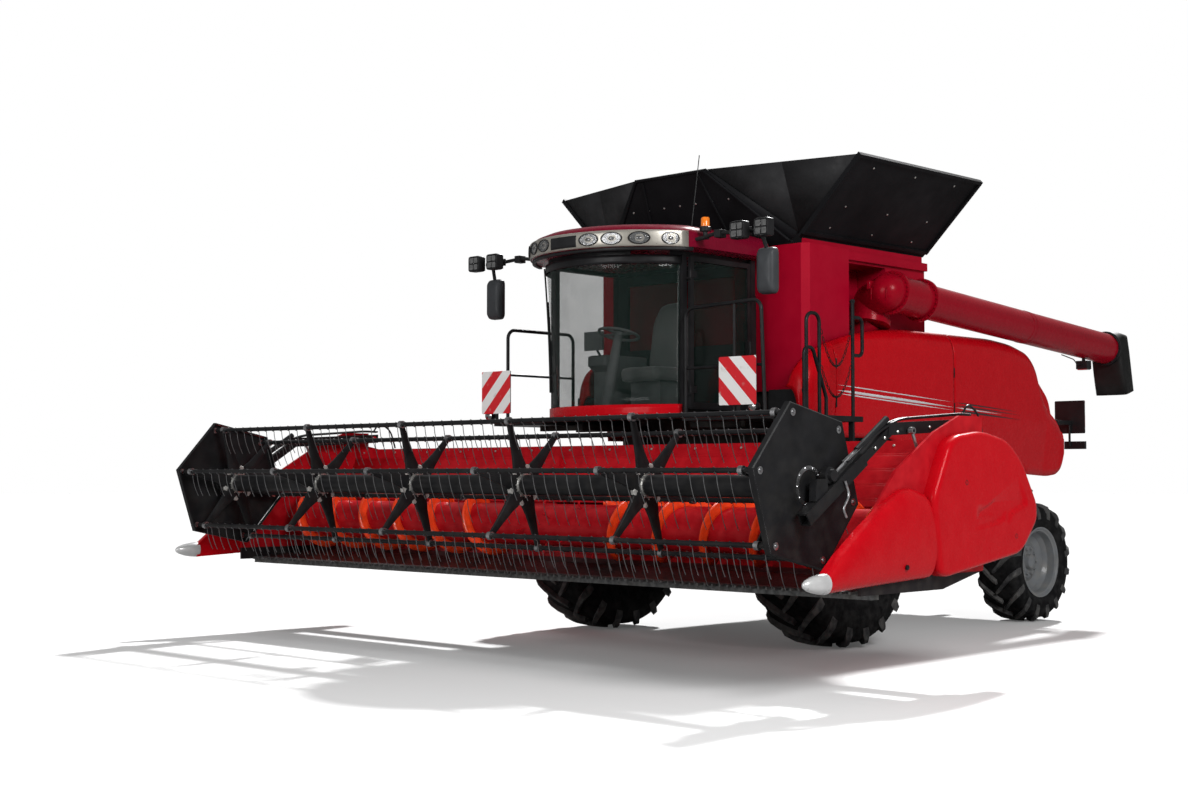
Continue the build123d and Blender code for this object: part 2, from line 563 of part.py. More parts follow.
def tank_gussets():
    """Soft corner webs between the open covers."""
    (hx, hz), (fx, fz) = side_cover_points()
    tilt = math.radians(END_COVER_OPEN)
    webs = []
    for side_end, end, way in ((TANK_FRONT + 40, TANK_FRONT + 20, -1), (TANK_REAR, TANK_REAR - 20, 1)):
        foot = Vector(hx - 12, side_end + way * SEAT, hz + 30)
        far = Vector(fx - 12, side_end + way * SEAT, fz)
        free = Vector(END_COVER_TOP + 6, end + way * END_COVER_H * math.sin(tilt),
                      TANK_RIM + COVER_PIN_R + SEAT + END_COVER_H * math.cos(tilt))
        normal = (far - foot).cross(free - foot).normalized()
        face = make_face(Polyline(foot, far, free, close=True))
        webs.append(extrude(face, 4, dir=normal if normal.Y * way > 0 else -normal))
    save("tank_gussets", *webs, *[mirrored(web) for web in webs])


# ---------------------------------------------------------------- cab
def bow(y_mid, y_side):
    """The screen's outline between the front posts, seen from above."""
    half = CAB_HALF - 30
    return ThreePointArc((-half, y_side, 0), (0, y_mid, 0), (half, y_side, 0))


def screen():
    """The bowed windscreen, leaning out towards its top."""
    faces = []
    for z, y_mid in ((CAB_FLOOR + 60, WINDSCREEN["low"]), (CAB_TOP - 45, WINDSCREEN["high"])):
        outer = bow(y_mid, CAB_FRONT - 40)
        inner = bow(y_mid + GLASS_T, CAB_FRONT - 40 + GLASS_T)
        edges = [outer, Line(outer @ 1, inner @ 1), inner, Line(inner @ 0, outer @ 0)]
        faces.append(Pos(0, 0, z) * make_face(edges))
    return loft(faces, ruled=True)


def nose(half, y_mid, z0, z1):
    """A solid slab under or over the screen with a bowed front and a straight back."""
    y0, y1 = CAB_FRONT - 40, CAB_REAR
    front = ThreePointArc((-half, y0, 0), (0, y_mid, 0), (half, y0, 0))
    back = Polyline((half, y0, 0), (half, y1, 0), (-half, y1, 0), (-half, y0, 0))
    return extrude(Pos(0, 0, z0) * make_face([front, *back.edges()]), z1 - z0)


def cab():
    """Floor, posts, rear wall, screen and side glass, roof, door and what is inside."""
    floor = nose(CAB_HALF - 10, WINDSCREEN["low"] - 10, CAB_FLOOR, CAB_FLOOR + 50)
    header_ring = nose(CAB_HALF - 10, WINDSCREEN["high"] + 20, CAB_TOP - 40, CAB_TOP)
    header_ring -= block(-CAB_HALF + 70, CAB_HALF - 70, CAB_FRONT - 380, CAB_REAR - 90,
                         CAB_TOP - 50, CAB_TOP + 10)
    frame = floor + header_ring
    for x, y, w, d in POSTS:
        frame += both(block(x - w / 2, x + w / 2, y - d / 2, y + d / 2, CAB_FLOOR + 10, CAB_TOP - 10))
    half, y, sill, head = CAB_HALF - 160, CAB_REAR - 60, CAB_FLOOR + 700, CAB_TOP - 140
    wall = block(-CAB_HALF + 10, CAB_HALF - 10, y, y + 40, CAB_FLOOR + 10, CAB_TOP - 10)
    wall -= block(-half, half, y - 20, y + 60, sill, head)
    frame += wall
    frame += both(block(CAB_HALF - 120, CAB_HALF - 60, -1100, -300, 2100, CAB_FLOOR + 10))
    hx, hy = DOOR_HINGE
    for z in DOOR_HINGE_Z:
        frame += block(CAB_HALF - 10, hx + 8, hy - 12, hy + 9, z - SEAT - 14, z - SEAT)
        frame += rod((hx, hy, z - 10), (hx, hy, z + 50), DOOR_PIN_R)
    save("cab_frame", frame)
    x, z0, z1 = CAB_HALF - 25, CAB_FLOOR + 50 + SEAT, CAB_TOP - 40 - SEAT
    right = block(-x - 5, -x + 5, CAB_FRONT + 30 + SEAT, CAB_REAR - 60 - SEAT, z0, z1)
    back = block(-half + SEAT, half - SEAT, y + 12, y + 22, sill + SEAT, head - SEAT)
    save("cab_glass", screen(), right, back)
    edge, crown = CAB_TOP + ROOF_H[0], CAB_TOP + ROOF_H[1]
    brow = nose(ROOF_HALF, ROOF_NOSE, CAB_TOP, edge)
    brow += block(-ROOF_HALF, ROOF_HALF, CAB_REAR - 1, CAB_REAR + 130, CAB_TOP, edge)
    save("cab_roof", brow + nose(ROOF_HALF - 80, ROOF_NOSE + 110, edge, crown))


def cab_door():
    """Front-hinged glass door on the left."""
    x0, x1 = CAB_HALF + 2, CAB_HALF + 36
    y0, y1 = CAB_FRONT + 34, CAB_REAR - 64
    z0, z1 = CAB_FLOOR + 54, CAB_TOP - 44
    frame = block(x0, x1, y0, y1, z0, z1) - block(x0 - 1, x1 + 1, y0 + 45, y1 - 45, z0 + 60, z1 - 45)
    frame += block(x1 - 2, x1 + 34, y1 - 80, y1 - 40, 2700, 2860)
    hx, hy = DOOR_HINGE
    for z in DOOR_HINGE_Z:
        frame += block(x1 - 1, hx, hy, hy + 90, z, z + 60) + rod((hx, hy, z), (hx, hy, z + 60), 11)
        frame -= rod((hx, hy, z - 1), (hx, hy, z + 61), DOOR_PIN_R + PIN_GAP)
    save("cab_door", frame)
    save("door_glass", block(x0 + 10, x0 + 20, y0 + 45.3, y1 - 45.3, z0 + 60.3, z1 - 45.3))


def cab_interior():
    """Seat on its pedestal, right console, steering column and wheel."""
    seat = block(-190, 190, -1000, -660, CAB_FLOOR + 50, 2520)
    seat += block(-250, 250, -1120, -560, 2500, 2640)
    seat += side_slab([(-700, 2620), (-600, 2620), (-530, 3280), (-620, 3300)], -240, 240)
    console = block(-560, -300, -1240, -620, CAB_FLOOR + 50, 2760)
    column = rod((0, -1555, 2230), (0, -1376, 2915), 45)
    column += block(-70, 70, -1630, -1490, CAB_FLOOR + 50, 2250)
    hub = Torus(190, 17) + Cylinder(50, 40) + Box(370, 36, 16)
    wheel = Plane(origin=(0, -1372, 2930), z_dir=(0, 0.25, 0.97)) * hub
    save("cab_interior", seat, console, column + wheel)


def roof_lamps():
    """Bowed lamp bar under the roof's brow, work lamps and two beacons."""
    bar = nose(ROOF_HALF + 2, ROOF_NOSE - 30, CAB_TOP + 30, CAB_TOP + 150)
    bar -= nose(ROOF_HALF + SEAT, ROOF_NOSE - SEAT, CAB_TOP + 20, CAB_TOP + 160)
    bar &= block(-ROOF_HALF, ROOF_HALF, ROOF_NOSE - 100, CAB_FRONT - 130, CAB_TOP, CAB_TOP + 300)
    shapes = [*bar.solids()]
    for side in (-1, 1):
        x, y, z = side * BEACON[0], BEACON[1], CAB_TOP + 160
        stalk = rod((x, y, z - 60), (x, y, z + 5), 20) + rod((x, y, z), (x, y, z + 40), 50)
        stalk += rod((x, y, z + 40), (x, y, z + 130), 42)
        stalk += block(side * ROOF_HALF, x + side * 30, y - 22, y + 22, z - 75, z - 45)
        shapes += stalk.solids()
    (x, y), tip, r = WHIP
    crown = CAB_TOP + ROOF_H[1] + SEAT
    shapes.append(rod((x, y, crown), (x, y, crown + 25), 22) + rod((x, y, crown + 15), tip, r))
    save("roof_lamps", *shapes)


def mirrors():
    """Mirror arms that reach out from the roof, with heads, cameras and work lamps."""
    y = BEACON[1] - 44
    end = 1740.0
    left = rail([(ROOF_HALF, y, 3730), (ROOF_HALF + 80, y, 3730), (ROOF_HALF + 240, y - 30, 3755),
                 (end, y + 19, 3740), (end + 20, y + 69, 3590)], 18, 40)
    head = block(end - 80, end + 120, y + 19, y + 129, 3180, 3600)
    lamps = block(end - 5, WORK_LAMP_X[1] + 20, y - 21, y + 29, 3725, 3755)
    for x in WORK_LAMP_X:
        lamps += block(x, x + WORK_LAMP, y - 141, y - 1, 3665, 3665 + WORK_LAMP)
    save("mirrors", both(left + head + lamps))


def platform():
    """Decks beside the cab, their rails, the fixed upper ladder and the guard rails."""
    z0, z1 = DECK_Z
    outline = [(905, -1500), (1860, -1500), (1860, -60), (1050, -60), (1050, -205), (905, -205)]
    deck = plan_slab(outline, z0, z1)
    right = block(-1600, -905, -1500, -500, z0, z1)
    r, foot = RAIL_R, z1 - 10
    guard = rail([(935, -1480, foot), (935, -1480, 3100), (1800, -1480, 3130), (1840, -1480, foot)], r, 90)
    guard += rod((1500, -1480, 3115), (1500, -1480, foot), r - 4)
    guard += rod((935, -1480, 2560), (1822, -1480, 2560), r - 4)
    loop = rail([(1840, -890, foot), (1840, -890, 3050), (1840, -700, 3050), (1840, -700, foot)], r, 80)
    brace = rail([(1840, -925, foot), (1840, -925, 2740), (1840, -800, 2740), (1840, -600, 2300),
                  (1840, -600, foot)], r, 60)
    post = rod((1840, -190, foot), (1840, -190, 3190), r)
    handle = rail([(1840, -190, 3050), (1840, -40, 3050), (1840, -40, 2700), (1840, -190, 2700)], r, 60)
    side_rail = rail([(-1420, -1480, foot), (-1420, -1480, 3050), (-1420, -560, 3050),
                      (-1420, -560, foot)], r, 90)
    side_rail += rod((-1420, -1480, 2600), (-1420, -560, 2600), r - 4)
    ladder_steps = stiles(1800, 1850, -712, -178, 1000, z0 + 5)
    for i in range(3):
        z = 1250 + 290 * i
        ladder_steps += block(1790, 1855, -690, -200, z, z + 30)
    hx, hz = LADDER_HINGE
    lugs = block(1840, hx + 20, -712, -684, hz - 22, hz + 40)
    lugs += block(1840, hx + 20, -206, -178, hz - 22, hz + 40)
    ladder_steps += lugs - rod((hx, -800, hz), (hx, -100, hz), LADDER_PIN_R + PIN_GAP)
    save("platform", deck + guard + loop + brace + post + handle + ladder_steps, right + side_rail)


def stiles(x0, x1, y0, y1, z0, z1):
    """The two side bars of a ladder."""
    return block(x0, x1, y0, y0 + 30, z0, z1) + block(x0, x1, y1 - 30, y1, z0, z1)


def ladder():
    """Lower ladder, folded up outside the fixed steps."""
    x, z = LADDER_HINGE
    part = stiles(x - 20, x + 25, -650, -240, z + 5, z + 560)
    for i in range(2):
        part += block(x - 20, x + 30, -650, -240, z + 210 + 280 * i, z + 240 + 280 * i)
    part += rod((x, -710, z), (x, -180, z), LADDER_PIN_R)
    save("ladder", part)


def warning_plates():
    """Square striped boards: two beside the cab and two at the tail, with their stays and the tail lamps."""
    shapes = []
    for side in (-1, 1):
        x = side * 1560
        board = block(x - 210, x + 210, -1512, -1502, 2215, 2640)
        if side > 0:
            board += block(x - 20, x + 20, -1503, -1493, 2150, 2640)
        else:
            board += block(x - 20, x + 20, -1503, -1465, DECK_Z[1], 2640)
        x, y = side * HOOD_HALF, TAIL_Y
        tail = block(x - side * 180, x + side * 200, y, y + 10, 2080, 2460)
        tail += block(x, x + side * 35, y - 510, y + 2, 2180, 2230)
        tail += block(x, x + side * 35, y - 40, y + 5, 1900, 2230)
        tail += block(x - side * 60, x + side * 200, y, y + 60, 1900, 1990)
        shapes += [board, tail]
    save("warning_plates", *shapes)


# ---------------------------------------------------------------- unloader
def unloader():
    """The fixed column, the swinging elbow and tube, and the rubber spout."""
    turn, e = Vector(*SWING_AT), Vector(*ELBOW)
    knee = Vector(*COLUMN_KNEE)
    column = rod((knee.X, knee.Y, TANK_FLOOR), tuple(knee), COLUMN_R) + Pos(*knee) * Sphere(COLUMN_R - 0.5)
    column += rod(knee, turn, COLUMN_R) + rod(turn - SWING_AXIS * 26, turn, ELBOW_R + 20)
    column -= rod(turn, turn + SWING_AXIS * 150, ELBOW_R + 60)
    column += block(knee.X - 85, knee.X + 60, knee.Y - 110, knee.Y + 110, TANK_FLOOR - 200, TANK_FLOOR + 30)
    save("unloader_column", column)
    fall = math.radians(TUBE_FALL)
    way = Vector(0, math.cos(fall), -math.sin(fall))
    top = turn + SWING_AXIS * 215
    tube = rod(turn + SWING_AXIS * SWING_GAP, turn + SWING_AXIS * 28, ELBOW_R + 20)
    tube += rod(turn + SWING_AXIS * SWING_GAP, top, ELBOW_R) + Pos(*top) * Sphere(ELBOW_R - 0.5)
    tube += rod(top, e, ELBOW_R) + Pos(*ELBOW) * Sphere(ELBOW_R - 0.5)
    tube += rod(e, e + way * TUBE_WIDE, ELBOW_R)
    for near in (30, TUBE_WIDE - 20):
        tube += rod(e + way * near, e + way * (near + 28), ELBOW_R + 33)
    end = (TUBE_END_Y - ELBOW[1]) / math.cos(fall)
    tube += rod(e + way * (TUBE_WIDE - 10), e + way * end, SPOUT_TUBE_R)
    tube += rod(e + way * (end - 30), e + way * end, SPOUT_TUBE_R + 18)
    save("unloader_tube", tube)
    tip = e + way * end
    top, y0 = tip.Z + 215, tip.Y + 2
    y1 = REAR_REACH
    # outlines of the boot and of its hollow: y, z
    boot = [(y0, top - 25), (y0 + 110, top), (y0 + 190, top - 30), (y1, top - 700), (y1 - 215, top - 760),
            (y0, top - 400)]
    hollow = [(y0 + 30, top - 60), (y0 + 110, top - 28), (y0 + 175, top - 55), (y1 - 24, top - 735),
              (y1 - 185, top - 800), (y0 + 30, top - 410)]
    x, inner = ELBOW[0], BOOT_HALF - BOOT_WALL
    spout = side_slab(boot, x - BOOT_HALF, x + BOOT_HALF) - side_slab(hollow, x - inner, x + inner)
    spout -= rod(tip - way * 60, tip + way * 200, SPOUT_TUBE_R - 8)
    spout -= rod(tip - way * 60, tip + way * 0.5, 300)
    save("unloader_spout", spout)


# ---------------------------------------------------------------- header
def feeder_house():
    """Conveyor housing from the machine's throat down to the header, hollow, with the cylinder ears."""
    outline = [(-1400, 1430), (-215, 1900), (-215, 1800), (-322, 1273), (-1400, 860)]
    duct = [(200, 1990), (200, 1500), (-1500, 860), (-1500, 1350)]
    shell = side_slab(outline, -FEEDER_HALF, FEEDER_HALF)
    shell -= side_slab(duct, -FEEDER_HALF + 20, FEEDER_HALF - 20)
    x0, x1 = FEEDER_HALF - 20, FEEDER_HALF + 20
    shell += both(rod((x0, *LIFT_PIVOT), (x1, *LIFT_PIVOT), PIVOT_EYE_R))
    shell -= both(rod((x0 - 10, *LIFT_PIVOT), (x1 + 10, *LIFT_PIVOT), PIVOT_R + PIN_GAP))
    ear = [(-1130, 980), (-1130, 790), (-1160, 770), (-1215, 770), (-1240, 800), (-1270, 940)]
    ears = side_slab(ear, LIFT_X + 40, LIFT_X + 56) + side_slab(ear, LIFT_X - 56, LIFT_X - 40)
    ears += rod((LIFT_X - 56, *LIFT_EYE), (LIFT_X + 56, *LIFT_EYE), CYLINDERS["lift"]["high_pin"])
    frame = block(-FEEDER_HALF - 45, FEEDER_HALF + 45, -1427, -1395, 830, 1500)
    frame -= block(-FEEDER_HALF + 20, FEEDER_HALF - 20, -1500, -1300, 885, 1385)
    save("feeder_house", shell + frame + both(ears))


def header_frame():
    """Back wall and trough, top and rear beams, and the two end sheets."""
    under = [(y + 12, z - SHEET_T) for y, z in reversed(TROUGH)]
    wall = side_slab(TROUGH + under, -HEADER_HALF, HEADER_HALF)
    wall -= block(-FEEDER_HALF + 10, FEEDER_HALF - 10, -1950, -1430, 890, 1400)
    beams = block(-HEADER_HALF, HEADER_HALF, -1490, -1390, 1770, 1880)
    low = block(FEEDER_HALF + 60, HEADER_HALF, -1640, -1500, 860, 1000)
    post = block(FEEDER_HALF + 50, FEEDER_HALF + 130, -1560, -1430, 900, 1780)
    sheet = side_slab(
        [(-2960, 738), (-2960, 1000), (-2800, 1330), (-2500, 1640), (-1990, 1930), (-1640, 2060),
         (-1320, 2060), (-1320, 860), (-1900, 738)],
        HEADER_HALF, HEADER_HALF + END_T,
    )
    strut = block(HEADER_HALF - 60, HEADER_HALF + 5, -1640, -1390, 860, 1000)
    pin = rod((ARM_X[0] - 10, *ARM_PIVOT), (HEADER_HALF + 5, *ARM_PIVOT), ARM_PIN_R)
    stub = rod((HEADER_HALF - 95, *AUGER_AXIS), (HEADER_HALF + 5, *AUGER_AXIS), STUB_R)
    foot_r = CYLINDERS["reel_lift"]["low_pin"]
    foot = rod((REEL_CYL_X - 26, *REEL_CYL_BASE), (HEADER_HALF + 5, *REEL_CYL_BASE), foot_r)
    clamp = block(-FEEDER_HALF - 60, FEEDER_HALF + 60, -1500, -1427 - SEAT, 1430, 1500)
    ends = both(low) + both(post) + both(sheet) + both(strut) + both(pin) + both(stub) + both(foot)
    save("header_frame", wall + beams + ends + clamp)


def cutterbar():
    """Bar along the front of the trough with its comb of guards."""
    count = int((2 * HEADER_HALF - 100) // GUARD_PITCH)
    left = -count * GUARD_PITCH / 2
    root = GUARD_TIP_Y + 110
    comb = [(-HEADER_HALF, root + 48), (-HEADER_HALF, root)]
    for i in range(count):
        x = left + i * GUARD_PITCH
        after = x + GUARD_PITCH
        comb += [(x + 8, root), (x + 30, GUARD_TIP_Y), (after - 30, GUARD_TIP_Y), (after - 8, root)]
    comb += [(HEADER_HALF, root), (HEADER_HALF, root + 48)]
    guards = plan_slab(comb, *GUARD_Z)
    back = block(-HEADER_HALF, HEADER_HALF, root - 10, root + 90, GUARD_Z[0] - 40, GUARD_Z[0])
    save("cutterbar", guards + back)


def bevelled(outline, x0, x1, inset):
    """A side outline at x0 that draws in by inset towards its middle at x1."""
    ys, zs = [p[0] for p in outline], [p[1] for p in outline]
    cy, cz = (min(ys) + max(ys)) / 2, (min(zs) + max(zs)) / 2
    ky = 1 - inset / ((max(ys) - min(ys)) / 2)
    kz = 1 - inset / ((max(zs) - min(zs)) / 2)
    faces = []
    for x, a, b in ((x0, 1, 1), ((x0 + 2 * x1) / 3, 1, 1), (x1, ky, kz)):
        plane = Plane(origin=(x, 0, 0), x_dir=(0, 1, 0), z_dir=(1, 0, 0))
        points = [(cy + (y - cy) * a, cz + (z - cz) * b) for y, z in outline]
        faces.append(plane * make_face(Polyline(*points, close=True)))
    return loft(faces, ruled=True)


def header_ends():
    """Crop dividers with their pale tips, and the broad end shields."""
    x0 = HEADER_HALF + END_T + SEAT
    divider = bevelled(
        [(-3460, 775), (-3460, 905), (-2600, 1480), (-2440, 1510), (-2190, 1460), (-2110, 840)],
        x0, HEADER_WIDE, 34,
    )
    tip = rod((x0 + 45, -3462, 840), (x0 + 45, -3455, 840), 60)
    cone = Plane(origin=(x0 + 45, -3461, 840), z_dir=(0, -1, 0)) * Cone(
        66, 26, TIP_REACH - 3461, align=(Align.CENTER, Align.CENTER, Align.MIN))
    shield = bevelled(
        [(-2175, 1420), (-2085, 860), (-1990, 835), (-890, 985), (-650, 1240), (-650, 1370), (-880, 1720),
         (-1100, 1880), (-1470, 1945), (-1830, 1905), (-1930, 1850)],
        x0, HEADER_WIDE, 40,
    )
    save("header_ends", both(divider + tip + cone), both(shield))


def header_auger():
    """Drum with flighting that feeds in from both ends."""
    y, z = AUGER_AXIS
    half = HEADER_HALF - 50
    drum = rod((-half, y, z), (half, y, z), AUGER_DRUM_R)
    turns = int((half - FEEDER_HALF) // AUGER_PITCH)
    for i in range(turns + 1):
        x = half - 30 - i * AUGER_PITCH
        drum += both(rod((x, y, z), (x + 8, y, z), AUGER_R))
    drum -= both(rod((half - 60, y, z), (half + 1, y, z), STUB_R + PIN_GAP))
    save("header_auger", drum)


def slide_way():
    """Unit direction of the reel slide, up and back along the arm."""
    a = math.radians(ARM_SLOPE)
    return Vector(0, math.cos(a), math.sin(a))


def reel_arms():
    """Two cranked arms that carry the reel from the top of the end sheets."""
    x0, x1 = ARM_X
    mid = (x0 + x1) / 2
    py, pz = ARM_PIVOT
    by, bz = ARM_BEND
    top = side_slab([(py + 55, pz - 45), (py + 55, pz + 45), (by - 40, bz + 50), (by - 60, bz - 45)], x0, x1)
    top -= rod((x0 - 5, py, pz), (x1 + 5, py, pz), ARM_PIN_R + PIN_GAP)
    bend = Vector(mid, by, bz)
    inner = beam(tuple(bend), tuple(bend - slide_way() * 800), *SLIDE_BAR)
    eye = rod((x1 - 5, *REEL_CYL_EYE), (REEL_CYL_X + 22, *REEL_CYL_EYE), CYLINDERS["reel_lift"]["high_pin"])
    save("reel_arms", both(top + inner + eye))


def reel_carriers():
    """Sleeves that slide on the arms and hold the reel's bearings."""
    x0, x1 = ARM_X
    mid = (x0 + x1) / 2
    bend = Vector(mid, *ARM_BEND)
    back, front = bend - slide_way() * 420, bend - slide_way() * 1230
    hollow = [size + 2 * PIN_GAP for size in SLIDE_BAR]
    bore = beam(tuple(back + slide_way()), tuple(front - slide_way()), *hollow)
    sleeve = beam(tuple(back), tuple(front), *SLEEVE) - bore
    y, z = REEL_AXIS
    on_line = bend - slide_way() * ((ARM_BEND[0] - y) / math.cos(math.radians(ARM_SLOPE)))
    plate = [(y - 75, on_line.Z + 20), (y + 75, on_line.Z + 90), (y + 60, z + 55), (y - 60, z + 55)]
    bearing = side_slab(plate, mid - 30, mid + 30) - bore
    stub = rod((ARM_X[0] - 80, y, z), (mid, y, z), REEL_STUB_R)
    save("reel_carriers", both(sleeve + bearing + stub))


def bar_place(k):
    """y and z of tine bar k about the reel's axis."""
    a = math.radians(REEL_TURN + 360 / BARS * k)
    return REEL_AXIS[0] - REEL_R * math.cos(a), REEL_AXIS[1] + REEL_R * math.sin(a)


def reel_core():
    """Central tube, six star-shaped spiders and a six-sided shield at each end."""
    y, z = REEL_AXIS
    core = rod((-SHIELD_X + 5, y, z), (SHIELD_X - 5, y, z), REEL_TUBE_R)
    star = []
    for k in range(BARS):
        by, bz = bar_place(k)
        away = Vector(0, by - y, bz - z).normalized()
        across = away.cross(Vector(1, 0, 0))
        c, tip = Vector(0, y, z), Vector(0, by, bz)
        points = [c + across * 75, tip + across * 30, tip - across * 30, c - across * 75]
        star.append(side_slab([(p.Y, p.Z) for p in points], -14, 14) + rod((-14, by, bz), (14, by, bz), 36))
    spider = star[0]
    for arm in star[1:]:
        spider += arm
    for k in range(BARS):
        spider -= rod((-20, *bar_place(k)), (20, *bar_place(k)), BAR_R + PIN_GAP)
    step = 2 * (REEL_HALF - SPIDER_INSET) / (SPIDERS - 1)
    for i in range(SPIDERS):
        core += Pos(-REEL_HALF + SPIDER_INSET + i * step, 0, 0) * spider
    corners = []
    for k in range(BARS):
        by, bz = bar_place(k)
        corners.append((y + (by - y) * REEL_SHIELD, z + (bz - z) * REEL_SHIELD))
    shield = side_slab(corners, SHIELD_X - 12, SHIELD_X - 2)
    core += both(shield)
    core -= both(rod((SHIELD_X - 80, y, z), (SHIELD_X + 20, y, z), REEL_STUB_R + PIN_GAP))
    save("reel_core", core)


def tine_bars():
    """Six bars of spring tines; each hangs the same way however the reel turns."""
    bar = rod((-REEL_HALF, 0, 0), (REEL_HALF, 0, 0), BAR_R)
    tines = []
    count = int(2 * (REEL_HALF - 60) // TINE_PITCH)
    step = 2 * (REEL_HALF - SPIDER_INSET) / (SPIDERS - 1)
    shape = [(-5, 0), (5, 0), (34, -110), (TINE_BACK + 4, -TINE_DROP), (TINE_BACK - 5, -TINE_DROP),
             (24, -110)]
    for i in range(count + 1):
        x = (i - count / 2) * TINE_PITCH
        if min(abs(x + REEL_HALF - SPIDER_INSET - j * step) for j in range(SPIDERS)) < 24:
            x += 40
        tines.append(side_slab(shape, x - 4, x + 4))
    comb = bar + tines
    for k in range(BARS):
        save(f"tine_bar_{k + 1}", Pos(0, *bar_place(k)) * comb)


def cylinder(name, x, base, eye, bore, ram, share, foot, half, low_pin, high_pin):
    """A hydraulic cylinder on both sides: barrels with their lower eyes, and rods with their upper eyes."""
    b, e = Vector(x, *base), Vector(x, *eye)
    way = (e - b).normalized()
    long = (e - b).length
    across = Vector(half, 0, 0)
    barrel = rod(b + way * (bore + 12), b + way * long * share, bore)
    barrel += rod(b, b + way * (bore + 20), low_pin + 4)
    barrel -= rod(b + way * (bore + 30), b + way * (long * share + 1), ram + PIN_GAP)
    barrel += rod(b - across, b + across, low_pin + 14)
    barrel -= rod(b - across * 1.1, b + across * 1.1, low_pin + PIN_GAP)
    rods = rod(b + way * foot, e - way * (high_pin + 10), ram)
    rods += rod(e - across, e + across, high_pin + 16)
    rods -= rod(e - across * 1.1, e + across * 1.1, high_pin + EYE_DRIFT)
    save(f"{name}_barrels", both(barrel))
    save(f"{name}_rods", both(rods))


def main():
    os.makedirs("parts", exist_ok=True)
    wheels()
    front_axle()
    rear_axle()
    knuckles()
    main_frame()
    rear_hitch()
    separator_body()
    engine_block()
    side_panels()
    body_shell()
    straw_chopper()
    grain_tank()
    tank_covers()
    tank_gussets()
    cab()
    cab_door()
    cab_interior()
    roof_lamps()
    mirrors()
    platform()
    ladder()
    warning_plates()
    unloader()
    feeder_house()
    header_frame()
    cutterbar()
    header_ends()
    header_auger()
    reel_arms()
    reel_carriers()
    reel_core()
    tine_bars()
    for name, sizes in CYLINDERS.items():
        cylinder(name, **sizes)


main()
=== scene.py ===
import logging
import math
from collections.abc import Callable, Sequence
from dataclasses import dataclass, field, replace
from enum import Enum

import bmesh
import bpy
import numpy as np
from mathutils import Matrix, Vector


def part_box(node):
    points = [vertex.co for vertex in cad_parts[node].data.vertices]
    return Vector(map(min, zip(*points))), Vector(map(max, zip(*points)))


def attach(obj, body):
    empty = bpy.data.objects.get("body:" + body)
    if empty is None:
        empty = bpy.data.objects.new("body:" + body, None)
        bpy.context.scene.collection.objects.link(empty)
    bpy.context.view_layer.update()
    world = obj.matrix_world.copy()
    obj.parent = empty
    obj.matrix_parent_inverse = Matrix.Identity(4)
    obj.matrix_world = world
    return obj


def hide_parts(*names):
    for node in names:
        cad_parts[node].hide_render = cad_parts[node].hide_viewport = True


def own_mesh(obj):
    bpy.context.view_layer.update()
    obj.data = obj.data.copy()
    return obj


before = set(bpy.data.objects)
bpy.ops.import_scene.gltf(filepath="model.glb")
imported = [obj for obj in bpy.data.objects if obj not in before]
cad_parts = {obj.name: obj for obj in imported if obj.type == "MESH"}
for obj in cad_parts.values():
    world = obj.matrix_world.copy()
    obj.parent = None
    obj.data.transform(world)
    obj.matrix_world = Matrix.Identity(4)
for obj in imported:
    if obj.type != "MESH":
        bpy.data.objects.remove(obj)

# Looks of a wheeled combine harvester. Metres; +X is the machine's left, +Y its rear, +Z up.
# Lengthwise places are written from the front axle, and the placing of a piece adds AXLE_Y.

LOG = logging.getLogger("harvester")
Array = np.ndarray
Point = tuple[float, float, float]

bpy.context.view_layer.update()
AXLE_Y = sum(corner.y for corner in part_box("front_rim_left")) / 2
SIDES = {"left": 1, "right": -1}
WELD = 1e-5  # points nearer to each other than this become one
BEVEL_FROM = 40  # degrees between two faces from which their edge is eased


class Edge(Enum):
    """How a piece's edges are finished."""

    CRISP = 0.0
    EASED = 0.003
    ROUND = 0.010


# ---------------------------------------------------------------- surfaces
@dataclass
class Surface:
    """A mesh in the making: points in metres, and faces as rows of point numbers."""

    points: Array
    faces: list[list[int]]

    def moved(self, x: float = 0.0, y: float = 0.0, z: float = 0.0) -> "Surface":
        """The same surface shifted."""
        return Surface(self.points + (x, y, z), self.faces)

    def mirrored(self) -> "Surface":
        """The same surface on the machine's other side."""
        return Surface(self.points * (-1, 1, 1), [face[::-1] for face in self.faces])

    def sided(self, side: int) -> "Surface":
        """This surface for the left side, or its mirror image for the right."""
        return self if side > 0 else self.mirrored()


def join(*surfaces: Surface) -> Surface:
    """Several surfaces as one.

    Args:
        surfaces: The surfaces to join.

    Returns:
        One surface with all their points and faces.
    """
    starts = np.cumsum([0] + [len(s.points) for s in surfaces])
    faces = [[i + int(start) for i in face] for s, start in zip(surfaces, starts) for face in s.faces]
    return Surface(np.concatenate([s.points for s in surfaces]), faces)


def both(surface: Surface) -> Surface:
    """A surface and its mirror image."""
    return join(surface, surface.mirrored())


